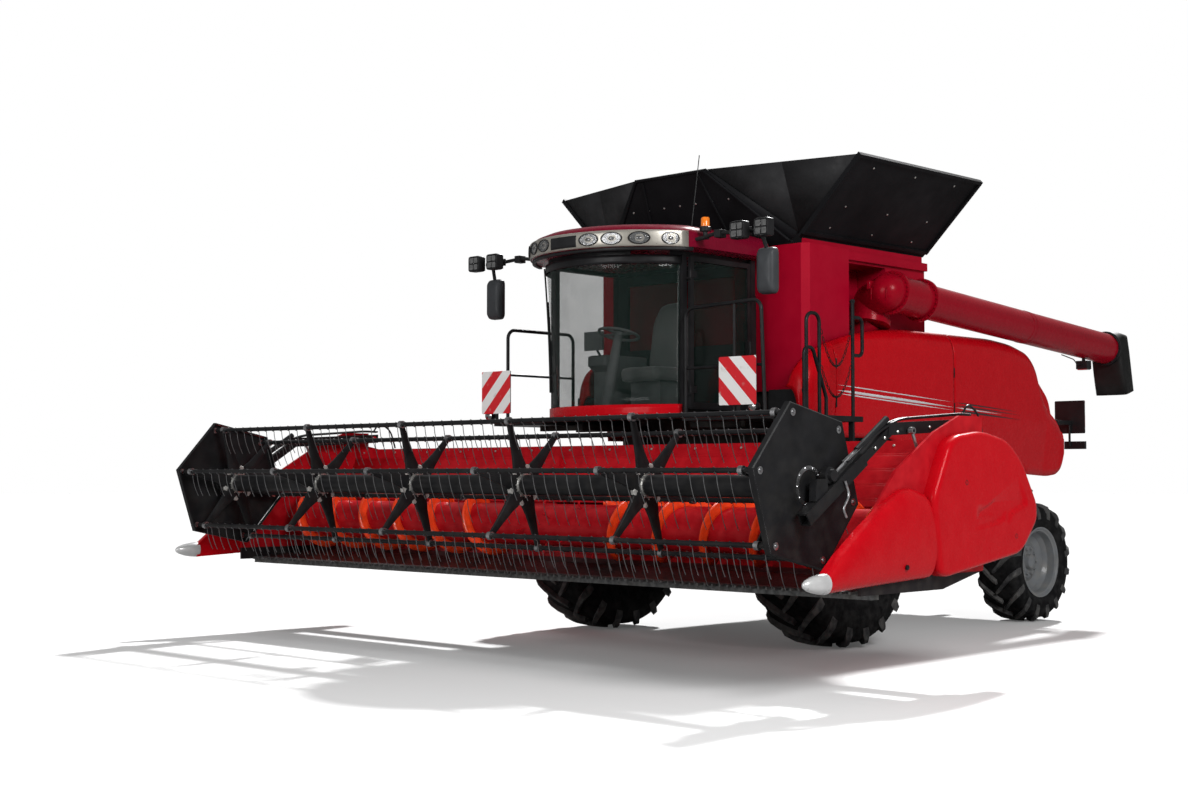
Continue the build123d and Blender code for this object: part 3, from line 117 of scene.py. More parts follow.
def skins(rings: Array, closed: bool = True, caps: bool = True) -> Surface:
    """Quads between neighbouring points of a block of rings.

    Point (l, t, s) is joined to (l, t, s+1) and (l, t+1, s); with closed, s runs round to 0 again.

    Args:
        rings: Points, shaped (pieces, rings, points a ring, 3) or (rings, points a ring, 3).
        closed: Whether each ring joins its last point to its first.
        caps: Whether the first and last ring of each piece get a face.

    Returns:
        The surface of all the pieces.
    """
    rings = rings if rings.ndim == 4 else rings[None]
    count, long, wide, _ = rings.shape
    index = np.arange(count * long * wide).reshape(count, long, wide)
    here = index if closed else index[:, :, :-1]
    after = np.roll(index, -1, axis=2) if closed else index[:, :, 1:]
    quads = np.stack([here[:, :-1], after[:, :-1], after[:, 1:], here[:, 1:]], axis=-1)
    faces = quads.reshape(-1, 4).tolist()
    if caps and closed:
        faces += index[:, 0, ::-1].tolist() + index[:, -1].tolist()
    return Surface(rings.reshape(-1, 3).astype(float), faces)


def grid(u: Array, v: Array, place: Callable[[Array, Array], Sequence[Array]]) -> Surface:
    """An open sheet: place(u, v) gives x, y and z for every pair of the two parameters."""
    across, along = np.meshgrid(u, v)
    points = np.stack(np.broadcast_arrays(*place(across, along)), axis=-1)
    return skins(points, closed=False, caps=False)


def unit(vector: Array) -> Array:
    """Vectors at length one."""
    return vector / np.linalg.norm(vector, axis=-1, keepdims=True)


def angles(count: int) -> Array:
    """Evenly spaced angles round a full turn, from 0."""
    return np.linspace(0, 2 * np.pi, count, endpoint=False)


def circle(axis: Sequence[float], count: int) -> tuple[Array, Array]:
    """An axis at length one, and points round it at distance one."""
    way = unit(np.array(axis, float))
    aside = np.array((0.0, 0.0, 1.0)) if abs(way[2]) < 0.9 else np.array((1.0, 0.0, 0.0))
    first = unit(np.cross(way, aside))
    turn = angles(count)[:, None]
    return way, np.cos(turn) * first + np.sin(turn) * np.cross(way, first)


def hoops(line: Array, flat: Sequence[float] | Array, radius: float | Array, sides: int) -> Array:
    """Rings square to a line, whose axes start from a direction that the line doesn't run in."""
    ahead = unit(np.gradient(line, axis=0))
    first = unit(np.cross(ahead, flat))
    second = np.cross(ahead, first)
    turn = angles(sides)[None, :, None]
    return line[:, None] + radius * (np.cos(turn) * first[:, None] + np.sin(turn) * second[:, None])


def rounded(points: Sequence[Sequence[float]], radius: float, steps: int = 5, closed: bool = False) -> Array:
    """A line with each corner swapped for a parabola that starts and ends up to radius from it.

    Between a = corner + r·back and b = corner + r·ahead the curve is (1-t)²a + 2t(1-t)corner + t²b.

    Args:
        points: Corners, in two or three dimensions.
        radius: How far from a corner its curve starts, at most 0.45 of the shorter side beside it.
        steps: Points on each curve.
        closed: Whether the line is a ring.

    Returns:
        The points of the rounded line.
    """
    line = np.array(points, float)
    corners = line if closed else line[1:-1]
    before = np.roll(line, 1, axis=0) if closed else line[:-2]
    after = np.roll(line, -1, axis=0) if closed else line[2:]
    reach = np.minimum(np.linalg.norm(before - corners, axis=1), np.linalg.norm(after - corners, axis=1))
    reach = np.minimum(radius, 0.45 * reach)[:, None]
    a = corners + reach * unit(before - corners)
    b = corners + reach * unit(after - corners)
    t = np.linspace(0, 1, steps)[None, :, None]
    curve = (1 - t) ** 2 * a[:, None] + 2 * t * (1 - t) * corners[:, None] + t**2 * b[:, None]
    curve = curve.reshape(-1, line.shape[1])
    return curve if closed else np.concatenate([line[:1], curve, line[-1:]])


def oblong(x0: float, x1: float, z0: float, z1: float, radius: float, steps: int) -> Array:
    """A rectangle with rounded corners."""
    return rounded([(x0, z0), (x1, z0), (x1, z1), (x0, z1)], radius, steps, closed=True)


def tube(points: Sequence[Sequence[float]], radius: float | Array, sides: int = 10, corner: float = 0.0,
         steps: int = 5) -> Surface:
    """A round bar along a line: rings square to the line, in axes taken from the line's flattest direction.

    Args:
        points: The line's corners.
        radius: One radius, or one for each point of the rounded line.
        sides: Points round the bar.
        corner: How far from a corner its curve starts.
        steps: Points on each curve.

    Returns:
        The closed surface of the bar.
    """
    line = rounded(points, corner, steps) if corner and len(points) > 2 else np.array(points, float)
    flat = np.linalg.svd(line - line.mean(axis=0))[2][-1]
    size = np.broadcast_to(np.asarray(radius, float), (len(line),))[:, None, None]
    return skins(hoops(line, flat, size, sides))


def lathe(profile: Sequence[tuple[float, float]], centre: Sequence[float], axis: Sequence[float],
          steps: int = 40) -> Surface:
    """A profile of (distance along the axis, radius) turned once round an axis."""
    line = np.array(profile, float)
    way, ring = circle(axis, steps)
    return skins(np.array(centre, float) + line[:, None, :1] * way + line[:, None, 1:] * ring)


def drum(half: float, inner: float, outer: float, centre: Sequence[float], axis: Sequence[float],
         steps: int) -> Surface:
    """A drum that reaches half to both sides of its centre, open inside the inner radius."""
    return lathe([(-half, inner), (-half, outer), (half, outer), (half, inner)], centre, axis, steps)


def mound(outline: Array, levels: Sequence[tuple[float, float]], axis: int) -> Surface:
    """An outline carried along an axis while it shrinks towards its middle.

    Ring k is middle + share_k · (outline - middle), at height_k along the axis.

    Args:
        outline: Corners in the plane square to the axis, its two other coordinates in order.
        levels: Pairs of share and height.
        axis: 0, 1 or 2 for X, Y or Z.

    Returns:
        The closed surface.
    """
    flat = np.array(outline, float)
    middle = (flat.min(axis=0) + flat.max(axis=0)) / 2
    shares, heights = np.array(levels, float).T
    plane = middle + shares[:, None, None] * (flat - middle)
    rings = np.insert(plane, axis, np.broadcast_to(heights[:, None], plane.shape[:2]), axis=2)
    return skins(rings)


def prism(outline: Sequence[Sequence[float]], low: float, high: float, axis: int = 0) -> Surface:
    """An outline carried from low to high along an axis."""
    return mound(np.array(outline, float), [(1, low), (1, high)], axis)


def block(low: Point, high: Point) -> Surface:
    """A box between two corners."""
    (x0, y0, z0), (x1, y1, z1) = low, high
    return prism([(y0, z0), (y1, z0), (y1, z1), (y0, z1)], x0, x1)


def studs(centres: Array, axis: Sequence[float], radius: float, height: float, sides: int = 6) -> Surface:
    """Like short bars with domed ends, such as bolt heads, that stand on their centres along one axis."""
    way, ring = circle(axis, sides)
    levels = np.array([(-0.3, 1.0), (0.75, 1.0), (1.0, 0.75)])
    rings = (np.asarray(centres, float)[:, None, None] + levels[None, :, None, :1] * height * way
             + levels[None, :, None, 1:] * radius * ring)
    return skins(rings)


def around(centre: Point, axis: Sequence[float], radius: float, count: int) -> Array:
    """Evenly spaced points on a circle."""
    return lathe([(0.0, radius)], centre, axis, count).points


# ---------------------------------------------------------------- finishes
class Graph:
    """The node tree of a material or world, with its Object coordinates at hand."""

    def __init__(self, owner: bpy.types.Material | bpy.types.World) -> None:
        """Starts an empty tree."""
        owner.use_nodes = True
        self.owner = owner
        self.tree = owner.node_tree
        self.tree.nodes.clear()
        self.place = self.add("ShaderNodeTexCoord").outputs["Object"]

    def add(self, kind: str, settings: dict | None = None, **inputs: object) -> bpy.types.Node:
        """Adds a node.

        Args:
            kind: The node's type.
            settings: Its own properties.
            inputs: Values or sockets for its inputs; an underscore stands for a space, and n0 for input 0.

        Returns:
            The node.
        """
        node = self.tree.nodes.new(kind)
        for key, value in (settings or {}).items():
            setattr(node, key, value)
        for key, value in inputs.items():
            socket = node.inputs[int(key[1:])] if key[1:].isdigit() else node.inputs[key.replace("_", " ")]
            if isinstance(value, bpy.types.NodeSocket):
                self.tree.links.new(value, socket)
            else:
                socket.default_value = value
        return node

    def math(self, operation: str, first: object, second: object = 0.0) -> bpy.types.NodeSocket:
        """The result of a Math node."""
        return self.add("ShaderNodeMath", {"operation": operation}, n0=first, n1=second).outputs[0]

    def noise(self, scale: float, detail: float = 3.0) -> bpy.types.NodeSocket:
        """Noise over the Object coordinates."""
        return self.add("ShaderNodeTexNoise", Vector=self.place, Scale=scale, Detail=detail).outputs["Fac"]

    def ramp(self, value: object, low: float, high: float, first: float, last: float) -> bpy.types.NodeSocket:
        """Maps low..high to first..last, held at both ends."""
        node = self.add("ShaderNodeMapRange", None, Value=value, From_Min=low, From_Max=high, To_Min=first,
                        To_Max=last)
        return node.outputs["Result"]

    def mix(self, share: object, first: object, second: object) -> bpy.types.NodeSocket:
        """A blend of two colours; sockets 0, 6 and 7 are the share and the colours."""
        return self.add("ShaderNodeMix", {"data_type": "RGBA"}, n0=share, n6=first, n7=second).outputs[2]

    def part(self, axis: int) -> bpy.types.NodeSocket:
        """One of the Object coordinates."""
        return self.add("ShaderNodeSeparateXYZ", None, Vector=self.place).outputs[axis]

    def bump(self, height: object, strength: float, distance: float) -> bpy.types.NodeSocket:
        """A bump's normal."""
        node = self.add("ShaderNodeBump", None, Height=height, Strength=strength, Distance=distance)
        return node.outputs["Normal"]

    def done(self, shader: bpy.types.NodeSocket) -> bpy.types.Material:
        """Sends a shader to the material's output."""
        self.add("ShaderNodeOutputMaterial", None, Surface=shader)
        return self.owner


FOOT_BLACK = (0.012, 0.012, 0.013, 1.0)


def rgba(colour: Sequence[float]) -> tuple[float, float, float, float]:
    """A colour with its alpha of one."""
    return (*colour[:3], 1.0)


@dataclass(frozen=True)
class Paint:
    """An opaque finish whose tone, gloss and surface vary a little, with dust that gathers low down."""

    name: str
    colour: tuple[float, float, float]
    rough: float
    slot: str
    metal: float = 0.0
    coat: float = 0.0
    vary: float = 0.12
    grain: float = 6.0
    bump: float = 0.02
    fine: float = 420.0
    dust: float = 0.0
    dust_top: float = 1.6
    dust_colour: tuple[float, float, float] = (0.30, 0.27, 0.22)
    foot: float = 0.0
    shine: float = 0.3
    tint: tuple[float, float, float] = (1.0, 1.0, 1.0)

    def make(self) -> bpy.types.Material:
        """Builds the material: patchy tone, patchy gloss, fine bump, and dust that fades out with height.

        Below the height foot, where it is given, the finish is black.
        """
        g = Graph(bpy.data.materials.new(self.name))
        broad = g.noise(self.grain, 4.0)
        dark = rgba([c * (1 - self.vary) for c in self.colour])
        light = rgba([min(1.0, c * (1 + self.vary) + 0.0015) for c in self.colour])
        colour = g.mix(g.ramp(broad, 0.3, 0.7, 0.0, 1.0), dark, light)
        if self.foot:
            below = g.ramp(g.part(2), self.foot - 0.01, self.foot, 1.0, 0.0)
            colour = g.mix(below, colour, FOOT_BLACK)
        rough = g.ramp(g.noise(self.grain * 3, 5.0), 0.3, 0.7, self.rough * 0.85, min(1.0, self.rough * 1.2))
        if self.dust:
            height = g.ramp(g.part(2), 0.0, self.dust_top, 1.0, 0.12)
            spots = g.ramp(g.noise(9.0, 6.0), 0.42, 0.68, 0.0, 1.0)
            layer = g.math("MULTIPLY", g.math("MULTIPLY", height, spots), self.dust)
            colour = g.mix(layer, colour, rgba(self.dust_colour))
            rough = g.math("MAXIMUM", rough, g.math("MULTIPLY", layer, 0.9))
        shader = g.add("ShaderNodeBsdfPrincipled", None, Base_Color=colour, Roughness=rough,
                       Metallic=self.metal, Coat_Weight=self.coat, Coat_Roughness=0.04,
                       Specular_IOR_Level=self.shine, Specular_Tint=rgba(self.tint),
                       Normal=g.bump(g.noise(self.fine, 2.0), self.bump, 0.002))
        return g.done(shader.outputs[0])


@dataclass(frozen=True)
class Glazing:
    """Tinted glass seen through, with clear reflections."""

    name: str
    colour: tuple[float, float, float]
    cover: float
    slot: str = "tinted_glass"

    def make(self) -> bpy.types.Material:
        """Builds the material: a thin see-through sheet with faint streaks of dust."""
        g = Graph(bpy.data.materials.new(self.name))
        streak = g.ramp(g.noise(2.5, 5.0), 0.45, 0.75, self.cover, self.cover + 0.05)
        shader = g.add("ShaderNodeBsdfPrincipled", None, Base_Color=rgba(self.colour), Roughness=0.03,
                       IOR=1.45, Alpha=streak)
        return g.done(shader.outputs[0])


@dataclass(frozen=True)
class Stripes:
    """Reflective film in slanting red and white bands."""

    name: str
    slope: int
    width: float = 0.1
    slot: str = "warning_white"

    def make(self) -> bpy.types.Material:
        """Builds the material: the sign of sin(pi (x ± z) / (width √2)) picks the band."""
        g = Graph(bpy.data.materials.new(self.name))
        height = g.math("MULTIPLY", g.part(2), float(self.slope))
        along = g.math("ADD", g.part(0), height)
        wave = g.math("SINE", g.math("MULTIPLY", along, math.pi / (self.width * math.sqrt(2))))
        band = g.math("GREATER_THAN", wave, 0.0)
        colour = g.mix(band, (0.80, 0.80, 0.79, 1.0), (0.62, 0.012, 0.02, 1.0))
        worn = g.ramp(g.noise(14.0, 5.0), 0.62, 0.74, 0.0, 0.45)
        colour = g.mix(worn, colour, (0.45, 0.43, 0.40, 1.0))
        shader = g.add("ShaderNodeBsdfPrincipled", None, Base_Color=colour, Roughness=0.28,
                       Normal=g.bump(g.noise(900.0, 1.0), 0.05, 0.001))
        return g.done(shader.outputs[0])


@dataclass(frozen=True)
class Cloth:
    """Woven seat cloth."""

    name: str
    colour: tuple[float, float, float]
    slot: str = "black_plastic"
    pitch: float = 0.004

    def make(self) -> bpy.types.Material:
        """Builds the material: two crossed wave patterns make the weave's bump, and sheen its nap."""
        g = Graph(bpy.data.materials.new(self.name))
        warp = g.add("ShaderNodeTexWave", None, Vector=g.place, Scale=0.16 / self.pitch).outputs["Fac"]
        weft = g.add("ShaderNodeTexWave", {"bands_direction": "Z"}, Vector=g.place,
                     Scale=0.16 / self.pitch).outputs["Fac"]
        weave = g.math("MULTIPLY", warp, weft)
        colour = g.mix(weave, rgba([c * 0.7 for c in self.colour]), rgba(self.colour))
        shader = g.add("ShaderNodeBsdfPrincipled", None, Base_Color=colour, Roughness=0.9, Sheen_Weight=0.3,
                       Normal=g.bump(weave, 0.4, 0.001))
        return g.done(shader.outputs[0])


Finish = Paint | Glazing | Stripes | Cloth

# Share of light that a dark or red finish throws back, lower than plain plastic's.
DIM = 0.16


def enamel(name: str, colour: tuple[float, float, float], rough: float, shine: float = DIM,
           **rest: float) -> Paint:
    """A red enamel, whose reflections keep its colour."""
    return Paint(name, colour, rough, "red_paint", shine=shine, tint=(1.0, 0.4, 0.4), **rest)


RED = enamel("red enamel", (0.46, 0.001, 0.006), 0.26, coat=0.06, vary=0.03, bump=0.002, dust=0.015,
             dust_top=2.2)
TANK_RED = enamel("tank enamel", (0.34, 0.001, 0.016), 0.42, 0.12, vary=0.04, bump=0.002)
TUBE_RED = enamel("tube enamel", (0.27, 0.001, 0.010), 0.26, coat=0.06, vary=0.05, grain=3.0, bump=0.002)
ROOF_RED = enamel("roof enamel", (0.16, 0.002, 0.016), 0.26, coat=0.06, vary=0.05, bump=0.002)
# A lighter copy of the red enamel with patchy tone: painted light on the auger flights, which carry the same
# paint as the drum.
LIT_AUGER_RED = Paint("lit auger enamel", (0.86, 0.055, 0.010), 0.30, "red_paint", coat=0.2, vary=0.22, grain=14.0)
TROUGH_RED = enamel("trough enamel", (0.42, 0.004, 0.010), 0.36, coat=0.05, vary=0.15, grain=9.0, dust=0.08,
                    dust_top=1.7)
FRAME_RED = replace(TROUGH_RED, name="header enamel", foot=0.86)
BLACK = Paint("satin black", (0.010, 0.010, 0.011), 0.36, "black_paint", vary=0.3, dust=0.06, dust_top=2.0,
              shine=DIM)
COVER_BLACK = Paint("cover black", (0.007, 0.007, 0.008), 0.50, "black_paint", vary=0.3, grain=2.0, bump=0.05,
                    fine=90.0, shine=0.06)
CHASSIS_BLACK = Paint("chassis black", (0.014, 0.014, 0.014), 0.55, "black_paint", vary=0.3, dust=0.35,
                      dust_top=2.4, shine=DIM)
STEEL = Paint("worn steel", (0.45, 0.45, 0.46), 0.32, "bare_steel", metal=1.0, vary=0.3, grain=20.0, dust=0.2)
GUARD_STEEL = Paint("guard steel", (0.10, 0.10, 0.10), 0.42, "bare_steel", metal=0.7, vary=0.4, grain=25.0,
                    dust=0.2)
TINE_STEEL = Paint("spring steel", (0.20, 0.20, 0.205), 0.36, "bare_steel", metal=0.8, vary=0.3, grain=25.0)
ZINC = Paint("zinc plate", (0.62, 0.61, 0.58), 0.30, "bare_steel", metal=0.9, vary=0.2, grain=30.0)
HUB_GREY = Paint("worn casting", (0.42, 0.41, 0.39), 0.45, "bare_steel", metal=0.4, vary=0.3, grain=35.0)
CAST_IRON = Paint("engine iron", (0.09, 0.09, 0.09), 0.7, "engine_iron", vary=0.3)
RIM_GREY = Paint("rim grey", (0.155, 0.165, 0.175), 0.38, "rim_silver", coat=0.15, vary=0.12, dust=0.40,
                 dust_top=1.4)
TYRE = Paint("tyre rubber", (0.008, 0.008, 0.0085), 0.85, "tyre_rubber", vary=0.3, grain=18.0, bump=0.25,
             fine=160.0, dust=0.22, dust_top=1.6, dust_colour=(0.08, 0.078, 0.075), shine=0.08)
LUG = Paint("lug rubber", (0.045, 0.045, 0.046), 0.85, "tyre_rubber", vary=0.35, grain=22.0, bump=0.35,
            fine=120.0, dust=0.6, dust_top=2.4, dust_colour=(0.17, 0.165, 0.155), shine=DIM)
RUBBER = Paint("soft rubber", (0.011, 0.011, 0.011), 0.5, "soft_rubber", vary=0.3, bump=0.1, fine=150.0,
               shine=DIM)
GUSSET = Paint("coated fabric", (0.014, 0.014, 0.015), 0.62, "soft_rubber", vary=0.3, grain=4.0, bump=0.25,
               fine=60.0, shine=DIM)
PLASTIC = Paint("moulded plastic", (0.014, 0.014, 0.015), 0.42, "black_plastic", vary=0.2, bump=0.12,
                fine=700.0, shine=DIM)
MIRROR_GREY = Paint("mirror shell", (0.045, 0.048, 0.052), 0.42, "black_plastic", vary=0.1, bump=0.08,
                    fine=600.0, shine=DIM)
TRIM_GREY = Paint("cab trim", (0.10, 0.105, 0.105), 0.6, "black_plastic", vary=0.15, bump=0.1, fine=500.0)
LAMP_SILVER = Paint("lamp bar silver", (0.36, 0.34, 0.30), 0.30, "lamp_silver", metal=0.5, vary=0.08)
REFLECTOR = Paint("reflector", (0.50, 0.50, 0.50), 0.12, "lamp_silver", metal=1.0, vary=0.25, grain=40.0,
                  bump=0.3, fine=130.0)
BOWL = Paint("lamp bowl", (0.20, 0.20, 0.205), 0.2, "lamp_silver", metal=0.9, vary=0.5, grain=30.0, bump=0.4,
             fine=90.0)
AMBER = Paint("amber lens", (0.85, 0.20, 0.01), 0.15, "lamp_silver", coat=0.8, vary=0.15, grain=30.0)
RED_LENS = Paint("red lens", (0.55, 0.01, 0.01), 0.15, "lamp_silver", coat=0.8, vary=0.15, grain=30.0)
TIP_SILVER = Paint("divider tip", (0.62, 0.62, 0.62), 0.30, "bare_steel", metal=0.3, coat=0.2, vary=0.12,
                   dust=0.1)
STRIPE_SILVER = Paint("silver stripe", (0.60, 0.60, 0.62), 0.30, "red_paint", coat=0.3, vary=0.05)
STRIPE_DARK = Paint("dark stripe", (0.030, 0.010, 0.014), 0.30, "red_paint", coat=0.3, vary=0.05)
GLASS = Glazing("tinted glass", (0.010, 0.022, 0.018), 0.24)
LENS = Glazing("clear lens", (0.3, 0.31, 0.31), 0.10, "lamp_silver")
SEAT_CLOTH = Cloth("seat cloth", (0.16, 0.165, 0.16))
PLATE_LEFT = Stripes("striped film left", 1)
PLATE_RIGHT = Stripes("striped film right", -1)

CAD_FINISH: dict[Finish, tuple[str, ...]] = {
    CHASSIS_BLACK: ("front_axle", "rear_axle", "main_frame", "rear_hitch", "knuckle_left", "knuckle_right",
                    "separator_body", "straw_chopper"),
    CAST_IRON: ("engine_block",),
    TANK_RED: ("grain_tank",),
    COVER_BLACK: ("tank_cover_left", "tank_cover_right", "tank_cover_front", "tank_cover_rear"),
    BLACK: ("cab_frame", "cab_door", "platform", "ladder", "reel_arms", "reel_carriers", "lift_barrels",
            "reel_lift_barrels"),
    GLASS: ("door_glass",),
    TROUGH_RED: ("feeder_house",),
    FRAME_RED: ("header_frame",),
    GUARD_STEEL: ("cutterbar",),
    STEEL: ("lift_rods", "reel_lift_rods"),
    TUBE_RED: ("unloader_column",),
}

_made: dict[str, bpy.types.Material] = {}


def material(finish: Finish) -> bpy.types.Material:
    """The one material of a finish."""
    if finish.name not in _made:
        _made[finish.name] = finish.make()
    return _made[finish.name]


def piece(name: str, shape: Surface, finish: Finish, body: str, edge: Edge = Edge.CRISP, wall: float = 0.0,
          smooth: float = 32.0, stands_for: Sequence[str] = ()) -> bpy.types.Object:
    """Makes a finished piece of a surface: puts it in place, closes it, dresses it and lets it ride.

    Args:
        name: The piece's name.
        shape: Its surface, measured lengthwise from the front axle.
        finish: What it is painted or moulded in.
        body: The body that carries it.
        edge: How its sharp edges are eased.
        wall: Thickness of an open sheet, grown to both sides; 0 for a closed shape.
        smooth: Degrees up to which two faces shade as one.
        stands_for: CAD nodes that it replaces.

    Returns:
        The new object.
    """
    mesh = bpy.data.meshes.new(name)
    mesh.from_pydata((shape.points + (0.0, AXLE_Y, 0.0)).tolist(), [], shape.faces)
    work = bmesh.new()
    work.from_mesh(mesh)
    bmesh.ops.remove_doubles(work, verts=work.verts, dist=WELD)
    bmesh.ops.dissolve_degenerate(work, dist=WELD / 10, edges=work.edges)
    bmesh.ops.recalc_face_normals(work, faces=work.faces)
    work.to_mesh(mesh)
    work.free()
    mesh.shade_smooth()
    mesh.set_sharp_from_angle(angle=math.radians(smooth))
    made = bpy.data.objects.new(name, mesh)
    bpy.context.scene.collection.objects.link(made)
    mesh.materials.append(material(finish))
    if wall:
        thick = made.modifiers.new("wall", "SOLIDIFY")
        thick.thickness = wall
        thick.offset = 0.0
    if edge.value:
        bevel = made.modifiers.new("edges", "BEVEL")
        bevel.width = edge.value
        bevel.segments = 2
        bevel.limit_method = "ANGLE"
        bevel.angle_limit = math.radians(BEVEL_FROM)
    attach(made, body)
    if stands_for:
        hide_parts(*stands_for)
    return made


def pair(name: str, shape: Surface, finish: Finish, body: str, edge: Edge = Edge.CRISP, wall: float = 0.0,
         smooth: float = 32.0, stands_for: Sequence[str] = ()) -> None:
    """Makes a piece on the left and its mirror image on the right.

    Args:
        name: Both names, with {} where the side stands.
        shape: The left one's surface.
        finish: As in piece.
        body: As in piece, with {} for the side where it has one.
        edge: As in piece.
        wall: As in piece.
        smooth: As in piece.
        stands_for: CAD nodes that the left one replaces.
    """
    for side, sign in SIDES.items():
        piece(name.format(side), shape.sided(sign), finish, body.format(side), edge, wall, smooth,
              stands_for if sign > 0 else ())


# ---------------------------------------------------------------- wheels
@dataclass
class Wheel:
    """A lugged tyre on its dished rim, turning about X."""

    end: str
    side: str
    centre: Point
    diameter: float
    width: float
    seat: float
    pairs: int
    lug_height: float
    lug_width: float
    sweep: float

    def carcass(self) -> Surface:
        """The tyre's body: a rounded section turned round the axle."""
        half, crown = self.width / 2 - 0.004, self.diameter / 2 - self.lug_height
        middle = (self.seat + crown) / 2
        shares = [(0.80, self.seat + 0.002), (0.90, self.seat + 0.035), (0.985, middle - 0.05),
                  (1.0, middle + 0.02), (0.97, crown - 0.07), (0.88, crown - 0.022), (0.70, crown - 0.004)]
        profile = [(-s * half, r) for s, r in shares] + [(s * half, r) for s, r in reversed(shares)]
        rings = rounded(profile, 0.03, 4)
        return lathe([*rings, rings[0]], self.centre, (1, 0, 0), 72)

    def lugs(self) -> Surface:
        """All lugs at once: each is a bar of four-cornered rings from the tread's middle over the shoulder.

        Ring t of lug l stands at angle start_l + sweep · bend_t about the axle, at share_t of the half
        width, between the root and top radii of its place in the table.
        """
        half, full = self.width / 2, self.diameter / 2
        crown = full - self.lug_height
        # share of half width, top radius, root radius, share of the sweep, half width
        table = np.array([
            (-0.06, full - 0.001, crown - 0.02, -0.04, 0.75), (0.10, full, crown - 0.02, 0.10, 0.85),
            (0.38, full - 0.001, crown - 0.02, 0.42, 0.95), (0.68, full - 0.008, crown - 0.02, 0.74, 1.05),
            (0.90, full - 0.030, crown - 0.05, 0.93, 1.15), (0.985, full - 0.068, crown - 0.08, 1.0, 1.2),
            (1.0, full - 0.150, crown - 0.14, 1.03, 1.1),
        ])
        share, top, root, bend, wide = table.T
        count = 2 * self.pairs
        way = np.where(np.arange(count) % 2, 1.0, -1.0)
        start = np.arange(count) * np.pi / self.pairs + 0.07
        angle = start[:, None] + self.sweep * bend
        spread = self.lug_width * wide / full
        corner_angle = np.stack([-0.80 * spread, -0.46 * spread, 0.46 * spread, 0.80 * spread], axis=-1)
        corner_radius = np.stack([root, top, top, root], axis=-1)
        turn = angle[:, :, None] + corner_angle[None]
        radius = np.broadcast_to(corner_radius[None], turn.shape)
        across = np.broadcast_to((way[:, None] * share * half)[:, :, None], turn.shape)
        x, y, z = self.centre
        rings = np.stack([x + across, y + radius * np.sin(turn), z + radius * np.cos(turn)], axis=-1)
        return skins(rings)

    def rim(self) -> Surface:
        """A closed profile from the hub cap over the dish and both flanges, turned round the axle."""
        edge, seat = 0.4 * self.width + 0.004, self.seat
        sign = SIDES[self.side]
        profile = [
            (0.112, 0.0), (0.112, 0.060), (0.104, 0.075), (0.060, 0.085), (0.060, 0.175), (0.045, 0.190),
            (0.030, 0.34 * seat + 0.1), (0.062, 0.82 * seat), (0.085, seat - 0.050),
            (edge * 0.55, seat - 0.028), (edge - 0.012, seat - 0.018), (edge + 0.002, seat + 0.006),
            (edge + 0.006, seat + 0.022), (edge + 0.014, seat + 0.028), (edge + 0.014, seat + 0.012),
            (edge, seat - 0.001), (-edge, seat - 0.001), (-edge - 0.014, seat + 0.012),
            (-edge - 0.014, seat + 0.028), (-edge - 0.004, seat + 0.012),
            (-edge, seat - 0.014), (0.040, seat - 0.030), (0.030, 0.5 * seat), (0.025, 0.0),
        ]
        dish = lathe([(sign * x, r) for x, r in profile], self.centre, (1, 0, 0), 64)
        x, y, z = self.centre
        nuts = studs(around((x + sign * 0.060, y, z), (1, 0, 0), 0.140, 10), (sign, 0, 0), 0.016, 0.026)
        return join(dish, nuts)

    def build(self) -> None:
        """Makes the tyre, its lugs and the rim."""
        tag, body = f"{self.end}_{self.side}", f"{self.end}_wheel_{self.side}"
        piece(f"tyre_body_{tag}", self.carcass(), TYRE, body, smooth=50,
              stands_for=[f"{self.end}_tyre_{self.side}"])
        piece(f"tyre_lugs_{tag}", self.lugs(), LUG, body, Edge.EASED)
        piece(f"wheel_rim_{tag}", self.rim(), RIM_GREY, body, stands_for=[f"{self.end}_rim_{self.side}"])


def build_wheels() -> None:
    """Makes all four wheels from the frame's own boxes."""
    # end: diameter, width, rim seat radius, lug pairs, lug height, lug width, sweep of a lug in radians
    table = {"front": (1.80, 0.65, 0.405, 18, 0.046, 0.064, 0.33),
             "rear": (1.30, 0.49, 0.355, 16, 0.038, 0.052, 0.36)}
    for end, sizes in table.items():
        for side in SIDES:
            low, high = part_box(f"{end}_tyre_{side}")
            middle = (low + high) / 2
            Wheel(end, side, (middle.x, middle.y - AXLE_Y, sizes[0] / 2), *sizes).build()


